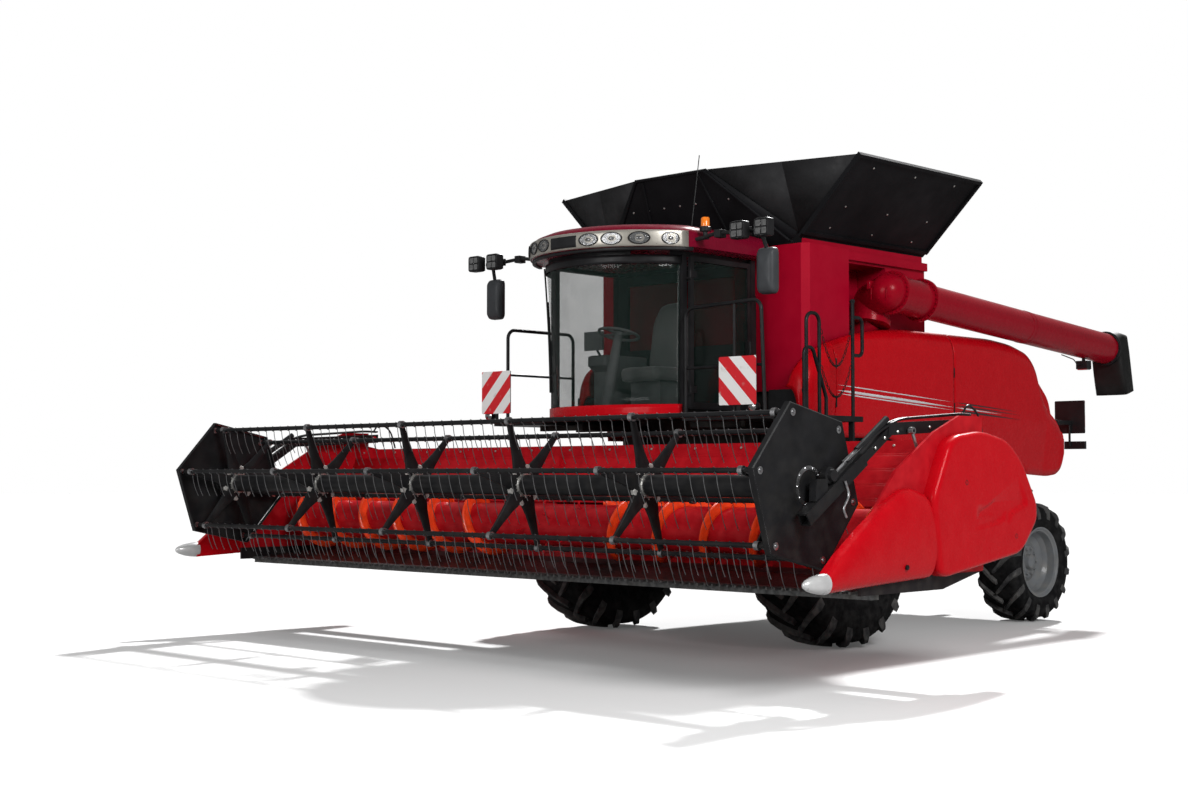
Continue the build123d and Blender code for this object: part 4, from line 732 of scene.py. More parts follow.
# ---------------------------------------------------------------- side sheets
@dataclass
class SideSheets:
    """The curved side skin: front fender, two hinged panels and the stripes on them."""

    half: float = 1.502
    round_height: float = 0.25
    seam: tuple[float, float] = (2.030, 2.044)
    front: float = -0.450
    sill: float = 2.142
    top_line: tuple[tuple[float, float], ...] = (
        (-0.450, 2.42), (-0.425, 2.56), (-0.36, 2.66), (-0.27, 2.725), (-0.14, 2.785), (0.01, 2.845),
        (0.42, 2.950), (0.90, 3.020), (1.30, 3.048), (2.90, 3.048), (3.30, 3.015), (3.60, 2.945),
        (3.70, 2.86), (3.80, 2.62), (3.90, 2.45), (4.05, 2.34), (4.20, 2.25), (4.28, 2.12),
    )
    foot_line: tuple[tuple[float, float], ...] = (
        (0.01, 1.96), (0.95, 1.96), (1.10, 1.90), (1.40, 1.70), (1.52, 1.64), (2.86, 1.64), (3.0, 1.73),
        (3.36, 1.74), (3.56, 1.61), (3.98, 1.59), (4.16, 1.61), (4.24, 1.67), (4.275, 1.80), (4.28, 2.10),
    )

    def crease(self, y: Array) -> Array:
        """Height of the crease, falling gently to the rear."""
        return 2.345 - 0.042 * y

    def sheet(self, y0: float, y1: float, foot: float | None = None) -> Surface:
        """The skin between two stations.

        v runs from the foot (0) over the crease (1) and the shoulder (2) to the top edge (3): a tucked lower
        stretch, an upright one, and a quarter of an ellipse.
        """
        tops, foots = rounded(self.top_line, 0.12, 6), rounded(self.foot_line, 0.06, 5)

        def place(y: Array, v: Array) -> tuple[Array, Array, Array]:
            """A point of the skin at station y."""
            top = np.interp(y, *tops.T)
            low = np.interp(y, *foots.T) if foot is None else np.full_like(y, foot)
            fold = np.maximum(np.minimum(self.crease(y), top - self.round_height * 1.1), low + 0.01)
            shoulder = np.maximum(top - self.round_height, fold + 0.02)
            z = np.where(v <= 1, low + (fold - low) * v, fold + (shoulder - fold) * (v - 1))
            lean = np.clip(v - 2, 0, 1) * np.pi / 2
            z = np.where(v > 2, shoulder + (top - shoulder) * np.sin(lean) ** 0.9, z)
            inner = np.interp(y, (0.45, 0.75), (1.362, 1.332))
            x = self.half - 0.118 * np.clip(fold - z, 0, None) ** 1.05
            x = np.where(v > 2, inner + (self.half - inner) * np.cos(lean) ** 0.75, x)
            nose = np.clip((y - self.front) / 0.16, 0, 1)
            return x - 0.10 * (1 - np.sqrt(1 - (1 - nose) ** 2)), y, z

        stations = np.unique(np.concatenate([np.linspace(y0, y1, 90), tops[:, 0], foots[:, 0]]))
        stations = stations[(stations >= y0) & (stations <= y1)]
        heights = np.concatenate([np.linspace(0, 1, 7), np.linspace(1, 2, 7)[1:], np.linspace(2, 3, 16)[1:]])
        return grid(stations, heights, place)

    def stripe(self, rise: float, width: float, y0: float, y1: float) -> Surface:
        """A strip of film that follows the skin, narrowing to nothing at both ends."""
        def place(y: Array, v: Array) -> tuple[Array, Array, Array]:
            """A point of the strip, v from -0.5 at its lower edge to 0.5."""
            taper = np.clip(np.minimum((y - y0) / 0.25, (y1 - y) / 0.7), 0.05, 1)
            z = self.crease(y) + 0.055 + rise - 0.010 * y + v * width * taper
            return np.full_like(y, self.half + 0.0112), y, z

        return grid(np.linspace(y0, y1, 30), np.array([-0.5, 0.5]), place)

    def build(self) -> None:
        """Makes the skins of both sides and their stripes."""
        # name, height over the crease, width, ends, finish
        stripes = [("bright", 0.052, 0.010, 0.02, 2.00, STRIPE_SILVER),
                   ("broad", 0.0, 0.026, 0.02, 2.02, STRIPE_SILVER),
                   ("thin", -0.030, 0.012, 0.02, 2.02, STRIPE_SILVER)]
        rear = [("upper_dark", 0.052, 0.014, 2.05, 3.30, STRIPE_DARK),
                ("broad_rear", 0.0, 0.018, 2.05, 2.95, STRIPE_SILVER),
                ("middle_dark", 0.020, 0.014, 2.05, 3.35, STRIPE_DARK),
                ("lower_dark", -0.030, 0.020, 2.05, 3.35, STRIPE_DARK)]
        pair("corner_fender_{}", self.sheet(self.front, 0.000, self.sill), RED, "chassis", wall=0.02)
        for side, sign in SIDES.items():
            for end, y0, y1, films in (("front", 0.012, self.seam[0], stripes),
                                       ("rear", self.seam[1], 4.278, rear)):
                body = f"side_panel_{side}_{end}"
                piece(f"panel_skin_{side}_{end}", self.sheet(y0, y1).sided(sign), RED, body, wall=0.02,
                      stands_for=[body])
                barrels = [tube([(1.508, y0, z), (1.508, y0, z + 0.1)], 0.0075, 10) for z in (2.24, 2.60)]
                piece(f"panel_barrels_{side}_{end}", join(*barrels).sided(sign), BLACK, body)
                for label, rise, width, a, b, finish in films:
                    strip = self.stripe(rise, width, a, b).sided(sign)
                    piece(f"stripe_{label}_{side}_{end}", strip, finish, body, wall=0.001)


@dataclass
class RearShell:
    """Fixed sheet metal: engine bay, its louvred sides, the straw hood and the strips beside them."""

    half: float = 1.18
    floor: float = 2.20
    roof: float = 2.96
    front: float = 1.925
    middle: float = 3.40

    def bay(self) -> Surface:
        """The engine bay's box."""
        return block((-self.half, self.front, self.floor), (self.half, self.middle, self.roof))

    def hood(self) -> Surface:
        """The straw hood's bent sheet: its outline carried across the machine, open below."""
        outline = rounded([(self.middle, 1.762), (self.middle, 2.96), (3.90, 2.90), (4.42, 2.46),
                           (4.56, 2.05), (4.52, 1.762)], 0.09, 5)
        y, z = outline.T
        across = np.array([-1.238, -1.21, 1.21, 1.238])
        drop = np.array([0.02, 0.0, 0.0, 0.02])
        rings = np.stack([np.broadcast_to(across[:, None], (4, len(y))), y + 0 * across[:, None],
                          z - drop[:, None]], axis=-1)
        cheeks = both(prism(outline, 1.212, 1.238))
        return join(skins(rings, closed=False, caps=False), cheeks)

    def louvres(self) -> Surface:
        """Slats over the bay's top and the hood's back: like flat bars in a row."""
        rows = np.linspace(2.15, 3.15, 14)
        slats = [block((-0.55, y, self.roof), (0.55, y + 0.035, self.roof + 0.02)) for y in rows]
        slats += [block((-0.62, 4.545, z), (0.62, 4.562, z + 0.03)) for z in np.linspace(1.84, 1.98, 3)]
        return join(*slats)

    def build(self) -> None:
        """Makes the shell's pieces."""
        piece("engine_bay", self.bay(), RED, "chassis", Edge.ROUND, stands_for=["body_shell"])
        piece("straw_hood", self.hood(), RED, "chassis", smooth=40)
        piece("bay_louvres", self.louvres(), BLACK, "chassis", Edge.EASED)
        strips = both(block((1.15, 1.93, 2.99), (1.322, 3.40, 3.02)))
        piece("bay_strips", strips, BLACK, "chassis", Edge.EASED)
        walls = both(join(block((1.055, -0.44, 2.142), (1.47, -0.41, 2.40)),
                          block((1.052, -0.06, 2.142), (1.47, -0.02, 2.29)),
                          block((1.235, 3.86, 2.27), (1.466, 3.89, 2.30))))
        piece("fender_walls", walls, BLACK, "chassis")


# ---------------------------------------------------------------- grain tank
@dataclass
class TankTrim:
    """Edge rails, ribs, fasteners and corner webs of the open covers.

    hinge is x and z of a side cover's fold, ends are y of its two ends, and end_hinge is z of an end
    cover's fold.
    """

    hinge: tuple[float, float] = (1.235, 3.850)
    lean: float = math.radians(45)
    long: float = 1.0
    ends: tuple[float, float] = (-0.20, 1.90)
    end_height: float = 0.85
    end_hinge: float = 3.804
    end_lean: float = math.radians(30)

    def on_side(self, along: float, off: float) -> tuple[float, float]:
        """x and z of a point on the side cover: along it from the hinge, and off its outer face."""
        c, s = math.cos(self.lean), math.sin(self.lean)
        return self.hinge[0] + along * s + off * c, self.hinge[1] + along * c - off * s

    def on_end(self, x: float, up: float, off: float, y: float, way: int) -> Point:
        """A point on the end cover whose fold lies at y: up it from the fold, and off its outer face."""
        c, s = math.cos(self.end_lean), math.sin(self.end_lean)
        return (x, y + way * (up * s + off * c), self.end_hinge + up * c - off * s)

    def bar(self, a0: float, a1: float, y0: float, y1: float, thick: float = 0.022) -> Surface:
        """A flat bar that lies on the side cover's outer face."""
        corners = [self.on_side(a0, 0.0), self.on_side(a1, 0.0), self.on_side(a1, thick),
                   self.on_side(a0, thick)]
        return prism(corners, y0, y1, axis=1)

    def side_trim(self) -> Surface:
        """Rails round the cover's edge."""
        y0, y1 = self.ends
        rails = [self.bar(0.965, 1.0, y0, y1), self.bar(0.05, 0.085, y0, y1),
                 self.bar(0.085, 0.965, y0, y0 + 0.03), self.bar(0.085, 0.965, y1 - 0.03, y1)]
        return join(*rails)

    def side_bolts(self) -> Surface:
        """Round fastener heads in three rows across the cover."""
        c, s = math.cos(self.lean), math.sin(self.lean)
        places = [(*self.on_side(a, 0.001), y) for y in (0.14, 0.83, 1.52) for a in (0.16, 0.42, 0.88)]
        centres = np.array([(x, y, z) for x, z, y in places])
        return studs(centres, (c, 0, -s), 0.010, 0.005, 10)

    def end_trim(self, y: float, way: int) -> Surface:
        """Rails along the sloping and top edges of an end cover, on its outer face."""

        def spot(x: float, up: float) -> Point:
            """A point on the rails' middle line."""
            return self.on_end(x, up, 0.018, y, way)

        edge = tube([spot(-1.16, 0.03), spot(-0.44, 0.84), spot(0.44, 0.84), spot(1.16, 0.03)], 0.012, 6,
                    0.03, 3)
        ribs = [tube([spot(x, 0.04), spot(x * 0.72, 0.82)], 0.010, 6) for x in (-0.5, 0.5)]
        return join(edge, *ribs)

    def corner_flaps(self, y: float, way: int) -> Surface:
        """Flat strips beside an end cover's slanting edges, that close it to the corner webs."""
        rise = way * self.end_height * math.sin(self.end_lean)
        corners = [(1.150, y + way * 0.004, 3.806), (1.238, y + way * 0.006, 3.900), (0.462, y + rise, 4.545),
                   (0.400, y + rise, 4.538)]
        return both(Surface(np.array(corners), [[0, 1, 2, 3]]))

    def end_bolts(self, y: float, way: int) -> Surface:
        """Fastener heads along the fold of an end cover."""
        c, s = math.cos(self.end_lean), math.sin(self.end_lean)
        at = np.array([self.on_end(x, 0.52, 0.013, y, way) for x in np.linspace(-0.62, 0.62, 7)])
        return studs(at, (0, way * c, -s), 0.010, 0.005, 10)

    def web(self, end: str, side_y: float, end_y: float, way: int) -> None:
        """The corner webs at one end.

        Each is folded down its middle, and each half draws in to its cover's edge as the covers close.
        """
        foot = np.array((self.hinge[0] - 0.012, side_y, self.hinge[1] + 0.030))
        far_x, far_z = self.on_side(self.long, 0.0)
        far = np.array((far_x - 0.012, side_y, far_z))
        free = np.array(self.on_end(0.456, self.end_height, 0.0, end_y, way))
        fold = (far + free) / 2
        for side, sign in SIDES.items():
            for rim, body in ((far, f"tank_cover_{side}"), (free, f"tank_cover_{end}")):
                half = Surface(np.array([foot, rim, fold]), [[0, 1, 2]])
                name = f"corner_web_{end}_{side}_{'side' if rim is far else 'end'}"
                made = piece(name, half.sided(sign), GUSSET, body, wall=0.004, stands_for=["tank_gussets"])
                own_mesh(made)

    def build(self) -> None:
        """Makes the trim of all covers."""
        self.web("front", -0.182, -0.20, -1)
        self.web("rear", 1.922, 1.90, 1)
        pair("cover_rails_{}", self.side_trim(), COVER_BLACK, "tank_cover_{}", Edge.EASED)
        pair("cover_bolts_{}", self.side_bolts(), ZINC, "tank_cover_{}")
        for end, y, way in (("front", -0.22, -1), ("rear", 1.88, 1)):
            body = f"tank_cover_{end}"
            piece(f"cover_rails_{end}", self.end_trim(y, way), COVER_BLACK, body)
            piece(f"cover_flaps_{end}", self.corner_flaps(y, way), COVER_BLACK, body, wall=0.006)
            piece(f"cover_bolts_{end}", self.end_bolts(y, way), ZINC, body)


# ---------------------------------------------------------------- cab
@dataclass
class Cab:
    """Bowed screen, roof, lamp bar, mirrors, beacons, wipers, seat and wheel."""

    half: float = 0.860
    screen_ends: tuple[float, float] = (2.210, 3.595)
    front: float = -1.400
    rear: float = -0.440
    roof_half: float = 1.010
    roof_nose: float = -2.090
    lamp_spots: tuple[float, ...] = (0.29, 0.50, 0.71, 0.90)

    def bow(self, x: Array, half: float, nose: float | Array) -> Array:
        """y of a circle's arc through (±half, front - 0.04) and (0, nose)."""
        rise = self.front - 0.04 - nose
        radius = (half**2 + rise**2) / (2 * rise)
        return nose + radius - np.sqrt(radius**2 - np.minimum(np.abs(x), half) ** 2)

    def bow_band(self, half: float, nose: float, z0: float, z1: float, reach: float = 1.0) -> Surface:
        """An upright band along such an arc, from z0 to z1."""
        def place(x: Array, z: Array) -> tuple[Array, Array, Array]:
            """A point of the band."""
            return x, self.bow(x, half, nose), z

        return grid(np.linspace(-half * reach, half * reach, 49), np.linspace(z0, z1, 4), place)

    def on_screen(self, x: Array, z: Array) -> tuple[Array, Array, Array]:
        """Points on the windscreen: an arc at every height, whose middle moves forward towards the top."""
        low, high = self.screen_ends
        nose = -1.740 - 0.220 * (z - low) / (high - low)
        return x, self.bow(x, self.half - 0.03, nose), z

    def screen(self) -> Surface:
        """The windscreen."""
        return grid(np.linspace(-0.829, 0.829, 49), np.linspace(*self.screen_ends, 13), self.on_screen)

    def panes(self) -> Surface:
        """The right-hand and rear panes."""
        right = block((-0.840, self.front + 0.031, 2.201), (-0.830, self.rear - 0.061, 3.599))
        back = block((-0.699, self.rear - 0.048, 2.851), (0.699, self.rear - 0.038, 3.499))
        return join(right, back)

    def roof(self) -> Surface:
        """The roof's plan outline, drawn in towards the top by a rounded brow."""
        x = np.linspace(-self.roof_half, self.roof_half, 41)
        arc = np.stack([x, self.bow(x, self.roof_half, self.roof_nose)], axis=1)
        tail = rounded([(self.roof_half, self.front), (self.roof_half, -0.312), (-self.roof_half, -0.312),
                        (-self.roof_half, self.front)], 0.10, 6)
        outline = np.concatenate([arc, tail])
        levels = [(0.96, 3.642), (1.0, 3.660), (1.0, 3.775), (0.992, 3.800), (0.96, 3.835), (0.86, 3.872),
                  (0.62, 3.898), (0.3, 3.904), (0.0, 3.905)]
        return mound(outline, levels, 2)

    def lamp_bar(self) -> Surface:
        """A bowed silver band with a rounded front, under the roof's brow."""
        def place(x: Array, v: Array) -> tuple[Array, Array, Array]:
            """A point of the bar, v from -1.5 below to 1.5 above."""
            nose = self.roof_nose - 0.006 - 0.022 * np.cos(v) ** 0.5
            return x, self.bow(x, self.roof_half, nose), 3.730 + 0.074 * np.sin(v)

        return grid(np.linspace(-0.985, 0.985, 61), np.linspace(-1.5, 1.5, 9), place)

    def lamp_frames(self) -> tuple[Surface, Surface, Surface]:
        """Oval bezels, reflectors and lenses along the bar: ellipses set square to the bow."""
        bezels, bowls, lenses = [], [], []
        for x in [s * side for s in self.lamp_spots for side in (1, -1)]:
            y = float(self.bow(np.array(x), self.roof_half, self.roof_nose - 0.028))
            step = float(self.bow(np.array(x + 0.01), self.roof_half, self.roof_nose - 0.028)) - y
            along = unit(np.array((0.01, step, 0.0)))
            out = np.array((along[1], -along[0], 0.0))
            turn = angles(28)[None, :, None]
            wide = 0.098 if abs(x) < 0.8 else 0.082
            oval = np.cos(turn) * wide * along + np.sin(turn) * 0.056 * np.array((0, 0, 1.0))
            at = np.array((x, y, 3.730))

            def rings(levels: Sequence[tuple[float, float]]) -> Surface:
                """Ovals at pairs of share and height over the bar."""
                share, height = np.array(levels).T[:, :, None, None]
                return skins(at + share * oval + height * out)

            bezels.append(rings([(0.90, -0.012), (1.04, -0.012), (1.04, 0.004), (0.98, 0.010), (0.90, 0.004),
                                 (0.90, -0.012)]))
            bowls.append(rings([(0.92, 0.002), (0.62, -0.006), (0.34, -0.001), (0.30, 0.004), (0.0, 0.006)]))
            lenses.append(rings([(0.91, 0.003), (0.7, 0.0085), (0.35, 0.0115), (0.0, 0.012)]))
        return join(*bezels), join(*bowls), join(*lenses)

    def beacon(self, side: int) -> tuple[Surface, Surface]:
        """A black foot and an amber dome with ribs."""
        centre = (side * 1.080, -1.375, 0.0)
        foot = lathe([(3.735, 0.0), (3.735, 0.022), (3.795, 0.022), (3.800, 0.052), (3.835, 0.054),
                      (3.842, 0.046), (3.842, 0.0)], centre, (0, 0, 1), 28)
        bracket = block((1.008, -1.397, 3.725), (1.11, -1.353, 3.755)).sided(side)
        steps = [(3.840, 0.0), (3.840, 0.041), (3.915, 0.039), (3.926, 0.032), (3.929, 0.0)]
        return join(foot, bracket), lathe(steps, centre, (0, 0, 1), 28)

    def mirror_arm(self) -> Surface:
        """The bent tube that carries a mirror, with its clamps."""
        y = -1.419
        arm = tube([(1.009, y, 3.730), (1.090, y, 3.730), (1.250, y - 0.03, 3.755), (1.740, -1.400, 3.740),
                    (1.760, -1.350, 3.590)], 0.018, 10, 0.05)
        clamps = [block((x - 0.035, -1.475, 3.715), (x + 0.035, -1.385, 3.785)) for x in (1.30, 1.59)]
        bracket = block((1.735, -1.44, 3.725), (1.800, -1.39, 3.755))
        return join(arm, bracket, *clamps)

    def mirror_head(self) -> tuple[Surface, Surface]:
        """The shell, its plan a rounded oblong seen from the front, and the glass behind it."""
        outline = oblong(1.665, 1.855, 3.185, 3.595, 0.05, 6)
        shell = mound(outline, [(0.0, -1.398), (0.55, -1.397), (0.86, -1.385), (0.97, -1.362), (1.0, -1.335),
                                (1.0, -1.300), (0.95, -1.292), (0.93, -1.300), (0.0, -1.300)], 1)
        glass = mound(outline, [(0.92, -1.301), (0.92, -1.297), (0.0, -1.297)], 1)
        return shell, glass

    def work_lamp(self, x: float, y: float, z: float, half: float = 0.079) -> tuple[Surface, Surface]:
        """A square lamp with a finned back, and its four square lenses; sizes are shares of its half side."""
        h = half
        case = oblong(x - h, x + h, z - h, z + h, 0.3 * h, 4)
        levels = [(0.9, 0.62), (1.0, 0.53), (1.0, -0.39), (0.94, -0.57), (0.86, -0.46), (0.0, -0.46)]
        body = mound(case, [(share, y + off * h) for share, off in levels], 1)
        fins = [block((x + (d - 0.05) * h, y + 0.53 * h, z - 0.85 * h),
                      (x + (d + 0.05) * h, y + 0.92 * h, z + 0.85 * h))
                for d in (-0.64, -0.21, 0.21, 0.64)]
        eyes = []
        for a in (x - 0.42 * h, x + 0.42 * h):
            for b in (z - 0.42 * h, z + 0.42 * h):
                r = 0.36 * h
                eye = oblong(a - r, a + r, b - r, b + r, 0.1 * h, 3)
                eyes.append(mound(eye, [(1.0, y - 0.43 * h), (0.92, y - 0.55 * h), (0.0, y - 0.59 * h)], 1))
        return join(body, *fins), join(*eyes)

    def wipers(self) -> Surface:
        """Two long blades with their arms, just ahead of the screen on its right-hand side."""
        lines = []
        for x0, x1, z0, z1 in ((-0.70, -0.78, 3.57, 2.40), (-0.62, -0.72, 3.57, 2.75)):
            x, z = np.linspace(x0, x1, 9), np.linspace(z0, z1, 9)
            arm = np.stack(self.on_screen(x, z), axis=1) - (0, 0.030, 0)
            blade = np.stack(self.on_screen(x[3:] - 0.02, z[3:]), axis=1) - (0, 0.016, 0)
            lines += [tube(arm, 0.008, 6), tube(blade, 0.011, 6)]
        return join(*lines)

    def seat_pads(self) -> list[tuple[str, Surface]]:
        """Cushion and backrest as crowned pads: a rounded outline that swells and draws in."""
        base = oblong(-0.25, 0.25, -1.12, -0.60, 0.09, 6)
        levels = [(0.86, 2.500), (0.96, 2.510), (1.0, 2.545), (1.0, 2.590), (0.95, 2.622), (0.8, 2.636),
                  (0.45, 2.630), (0.0, 2.622)]
        cushion = mound(base, levels, 2)
        back = rounded([(-0.24, 2.62), (0.24, 2.62), (0.22, 3.10), (0.13, 3.28), (-0.13, 3.28),
                        (-0.22, 3.10)], 0.08, 6,
                       closed=True)
        rest = mound(back, [(0.0, 0.035), (0.5, 0.030), (0.80, 0.020), (0.95, -0.005), (1.0, -0.045),
                            (0.96, -0.085), (0.8, -0.10), (0.0, -0.10)], 1)
        lean = (rest.points[:, 2] - 2.62) / 0.66
        rest.points[:, 1] += 0.075 * lean - 0.615
        return [("seat_cushion", cushion), ("seat_backrest", rest)]

    def controls(self) -> Surface:
        """Pedestal, consoles, column, wheel and screen."""
        pedestal = block((-0.19, -1.0, 2.200), (0.19, -0.66, 2.499))
        console = mound(oblong(-0.56, -0.30, -1.24, -0.62, 0.05, 5),
                        [(0.8, 2.2), (0.8, 2.6), (1.0, 2.66), (1.0, 2.745), (0.92, 2.76), (0.0, 2.76)], 2)
        column = tube([(0, -1.56, 2.20), (0, -1.55, 2.25), (0, -1.376, 2.92)], np.array([0.09, 0.055, 0.04]),
                      14)
        hub = np.array((0, -1.372, 2.93))
        turn = np.linspace(0, 2 * np.pi, 33)[:, None]
        tilt = unit(np.array((0, 0.25, 0.97)))
        hoop = hub + 0.19 * (np.cos(turn) * (1.0, 0, 0) + np.sin(turn) * np.cross(tilt, (1.0, 0, 0)))
        spokes = [tube([hoop[0], hoop[16]], 0.014, 8), tube([hub, hoop[24]], 0.014, 8)]
        boss = lathe([(-0.02, 0.0), (-0.02, 0.05), (0.02, 0.045), (0.024, 0.0)], hub, tilt, 20)
        wheel = join(tube(hoop, 0.015, 8), *spokes, boss)
        monitor = block((-0.50, -1.33, 2.80), (-0.26, -1.30, 2.98))
        stalk = tube([(-0.38, -1.22, 2.74), (-0.38, -1.31, 2.85)], 0.012, 8)
        return join(pedestal, console, column, wheel, monitor, stalk)

    def build(self) -> None:
        """Makes every piece of the cab."""
        piece("windscreen", self.screen(), GLASS, "chassis", wall=0.008, stands_for=["cab_glass"])
        piece("cab_panes", self.panes(), GLASS, "chassis")
        piece("screen_head_band", self.bow_band(0.842, -1.966, 3.52, 3.60), BLACK, "chassis", wall=0.004)
        piece("screen_foot_band", self.bow_band(0.856, -1.765, 2.13, 2.245), RED, "chassis", wall=0.012)
        piece("roof_shell", self.roof(), ROOF_RED, "chassis", smooth=50, stands_for=["cab_roof"])
        piece("lamp_bar", self.lamp_bar(), LAMP_SILVER, "chassis", wall=0.006, smooth=60,
              stands_for=["roof_lamps"])
        bezels, bowls, lenses = self.lamp_frames()
        piece("lamp_bezels", bezels, PLASTIC, "chassis")
        piece("lamp_bowls", bowls, BOWL, "chassis", smooth=60)
        piece("lamp_lenses", lenses, LENS, "chassis", smooth=60)
        piece("lamp_bar_blank", self.bow_band(1.012, -2.121, 3.672, 3.778, 0.16), PLASTIC, "chassis",
              wall=0.005)
        piece("brow_shadow_strip", self.bow_band(0.99, -2.06, 3.625, 3.665), PLASTIC, "chassis", wall=0.03)
        for side, sign in SIDES.items():
            foot, dome = self.beacon(sign)
            piece(f"beacon_foot_{side}", foot, PLASTIC, "chassis")
            piece(f"beacon_dome_{side}", dome, AMBER, "chassis")
        shell, glass = self.mirror_head()
        pair("mirror_shell_{}", shell, MIRROR_GREY, "chassis", smooth=50)
        pair("mirror_glass_{}", glass, REFLECTOR, "chassis")
        pair("mirror_arm_{}", self.mirror_arm(), PLASTIC, "chassis", Edge.EASED)
        cases, eyes = zip(*(self.work_lamp(x, -1.512, 3.745) for x in (1.59, 1.86)))
        pair("work_lamp_cases_{}", join(*cases), PLASTIC, "chassis", Edge.EASED)
        pair("work_lamp_eyes_{}", join(*eyes), REFLECTOR, "chassis")
        camera = block((-1.80, -1.43, 3.70), (-1.74, -1.37, 3.76))
        piece("mirror_camera", camera, PLASTIC, "chassis", Edge.ROUND, stands_for=["mirrors"])
        whip = join(lathe([(0.0, 0.0), (0.0, 0.022), (0.024, 0.016), (0.028, 0.0)], (0.5, -0.9, 3.903),
                          (0, 0, 1), 16),
                    tube([(0.5, -0.9, 3.92), (0.5, -0.78, 4.648)], 0.0045, 6))
        piece("whip_antenna", whip, PLASTIC, "chassis")
        piece("wiper_pair", self.wipers(), PLASTIC, "chassis")
        for name, pad in self.seat_pads():
            made = piece(name, pad, SEAT_CLOTH, "chassis", smooth=60)
        piece("cab_controls", self.controls(), TRIM_GREY, "chassis", Edge.EASED, stands_for=["cab_interior"])
        duct = tube([(0.79, -0.36, 2.20), (0.79, -0.36, 3.30), (0.72, -0.36, 3.60)], 0.045, 14, 0.1)
        piece("air_duct", duct, RUBBER, "chassis", smooth=50)
        handle = tube([(0.90, -0.56, 2.70), (0.935, -0.56, 2.71), (0.935, -0.56, 2.85), (0.90, -0.56, 2.86)],
                      0.009, 8, 0.02)
        piece("door_handle", handle, BLACK, "cab_door")


# ---------------------------------------------------------------- deck
@dataclass
class Deck:
    """Striped plates with their lamps, and the safety chains."""

    def plates(self) -> None:
        """Makes the four striped plates, their stays and the lamps beside them."""
        board = oblong(1.350, 1.770, 2.215, 2.640, 0.012, 3)
        tail = oblong(1.060, 1.440, 2.080, 2.460, 0.012, 3)
        films = {"left": PLATE_LEFT, "right": PLATE_RIGHT}
        for side, other in (("left", "right"), ("right", "left")):
            for end, outline, y, film in (("front", board, -1.5135, films[side]),
                                          ("rear", tail, 4.9005, films[other])):
                sheet = prism(outline, y, y + 0.001, 1).sided(SIDES[side])
                piece(f"plate_film_{end}_{side}", sheet, film, "chassis")
        backs = join(prism(board, -1.512, -1.502, 1), prism(tail, 4.890, 4.900, 1),
                     block((1.54, -1.503, 2.14), (1.58, -1.493, 2.64)),
                     block((1.24, 4.38, 2.18), (1.275, 4.891, 2.23)),
                     tube([(1.2575, 4.87, 2.20), (1.2575, 4.87, 1.93)], 0.014, 8),
                     block((1.18, 4.885, 1.90), (1.44, 4.925, 1.99)))
        pair("plate_backs_{}", backs, PLASTIC, "chassis", Edge.EASED, stands_for=["warning_plates"])
        lens = mound(oblong(1.19, 1.43, 1.91, 1.98, 0.015, 4), [(1.0, 4.924), (0.97, 4.938), (0.0, 4.942)], 1)
        pair("tail_lamp_{}", lens, RED_LENS, "chassis")
        spot, ahead = (1.70, -1.455, 2.20), (0, -1, 0)
        lamp = lathe([(-0.05, 0.0), (-0.045, 0.035), (0.0, 0.052), (0.03, 0.052)], spot, ahead, 20)
        pair("deck_lamp_{}", lamp, PLASTIC, "chassis")
        glow = lathe([(0.026, 0.050), (0.040, 0.030), (0.044, 0.0)], spot, ahead, 20)
        pair("deck_lamp_glass_{}", glow, REFLECTOR, "chassis")

    def chain(self, start: Point, end: Point, sag: float, links: int = 21) -> Surface:
        """Links along a hanging line: start + t (end - start), lowered by sag · (1 - (2t - 1)²).

        Each link is a ring stretched along the line, and every second one is turned by a quarter.
        """
        t = (np.arange(links) + 0.5) / links
        a, b = np.array(start), np.array(end)
        centres = a + t[:, None] * (b - a) - (sag * (1 - (2 * t - 1) ** 2))[:, None] * (0, 0, 1.0)
        ahead = unit(np.gradient(centres, axis=0))
        aside = np.broadcast_to((1.0, 0.0, 0.0), ahead.shape)
        other = np.cross(ahead, aside)
        odd = (np.arange(links) % 2 == 1)[:, None]
        flat, deep = np.where(odd, aside, other), np.where(odd, other, aside)
        big = np.linspace(0, 2 * np.pi, 11)[None, :, None, None]
        small = angles(6)[None, None, :, None]
        long = np.linalg.norm(b - a) / links * 0.9 + 0.004
        wire = 0.0035
        core = np.cos(big) * (long + wire * np.cos(small)) * ahead[:, None, None]
        core = core + np.sin(big) * (0.011 + wire * np.cos(small)) * flat[:, None, None]
        rings = centres[:, None, None] + core + wire * np.sin(small) * deep[:, None, None]
        return skins(rings, caps=False)

    def build(self) -> None:
        """Makes the plates and chains."""
        self.plates()
        upper = self.chain((1.84, -0.700, 3.00), (1.84, -0.190, 3.02), 0.42)
        lower = self.chain((1.84, -0.700, 2.66), (1.84, -0.190, 2.68), 0.36)
        piece("safety_chains", join(upper, lower), BLACK, "chassis")
        knob = lathe([(3.18, 0.0), (3.185, 0.022), (3.20, 0.026), (3.215, 0.018), (3.218, 0.0)],
                     (1.84, -0.190, 0.0), (0, 0, 1), 16)
        piece("post_knob", knob, PLASTIC, "chassis")


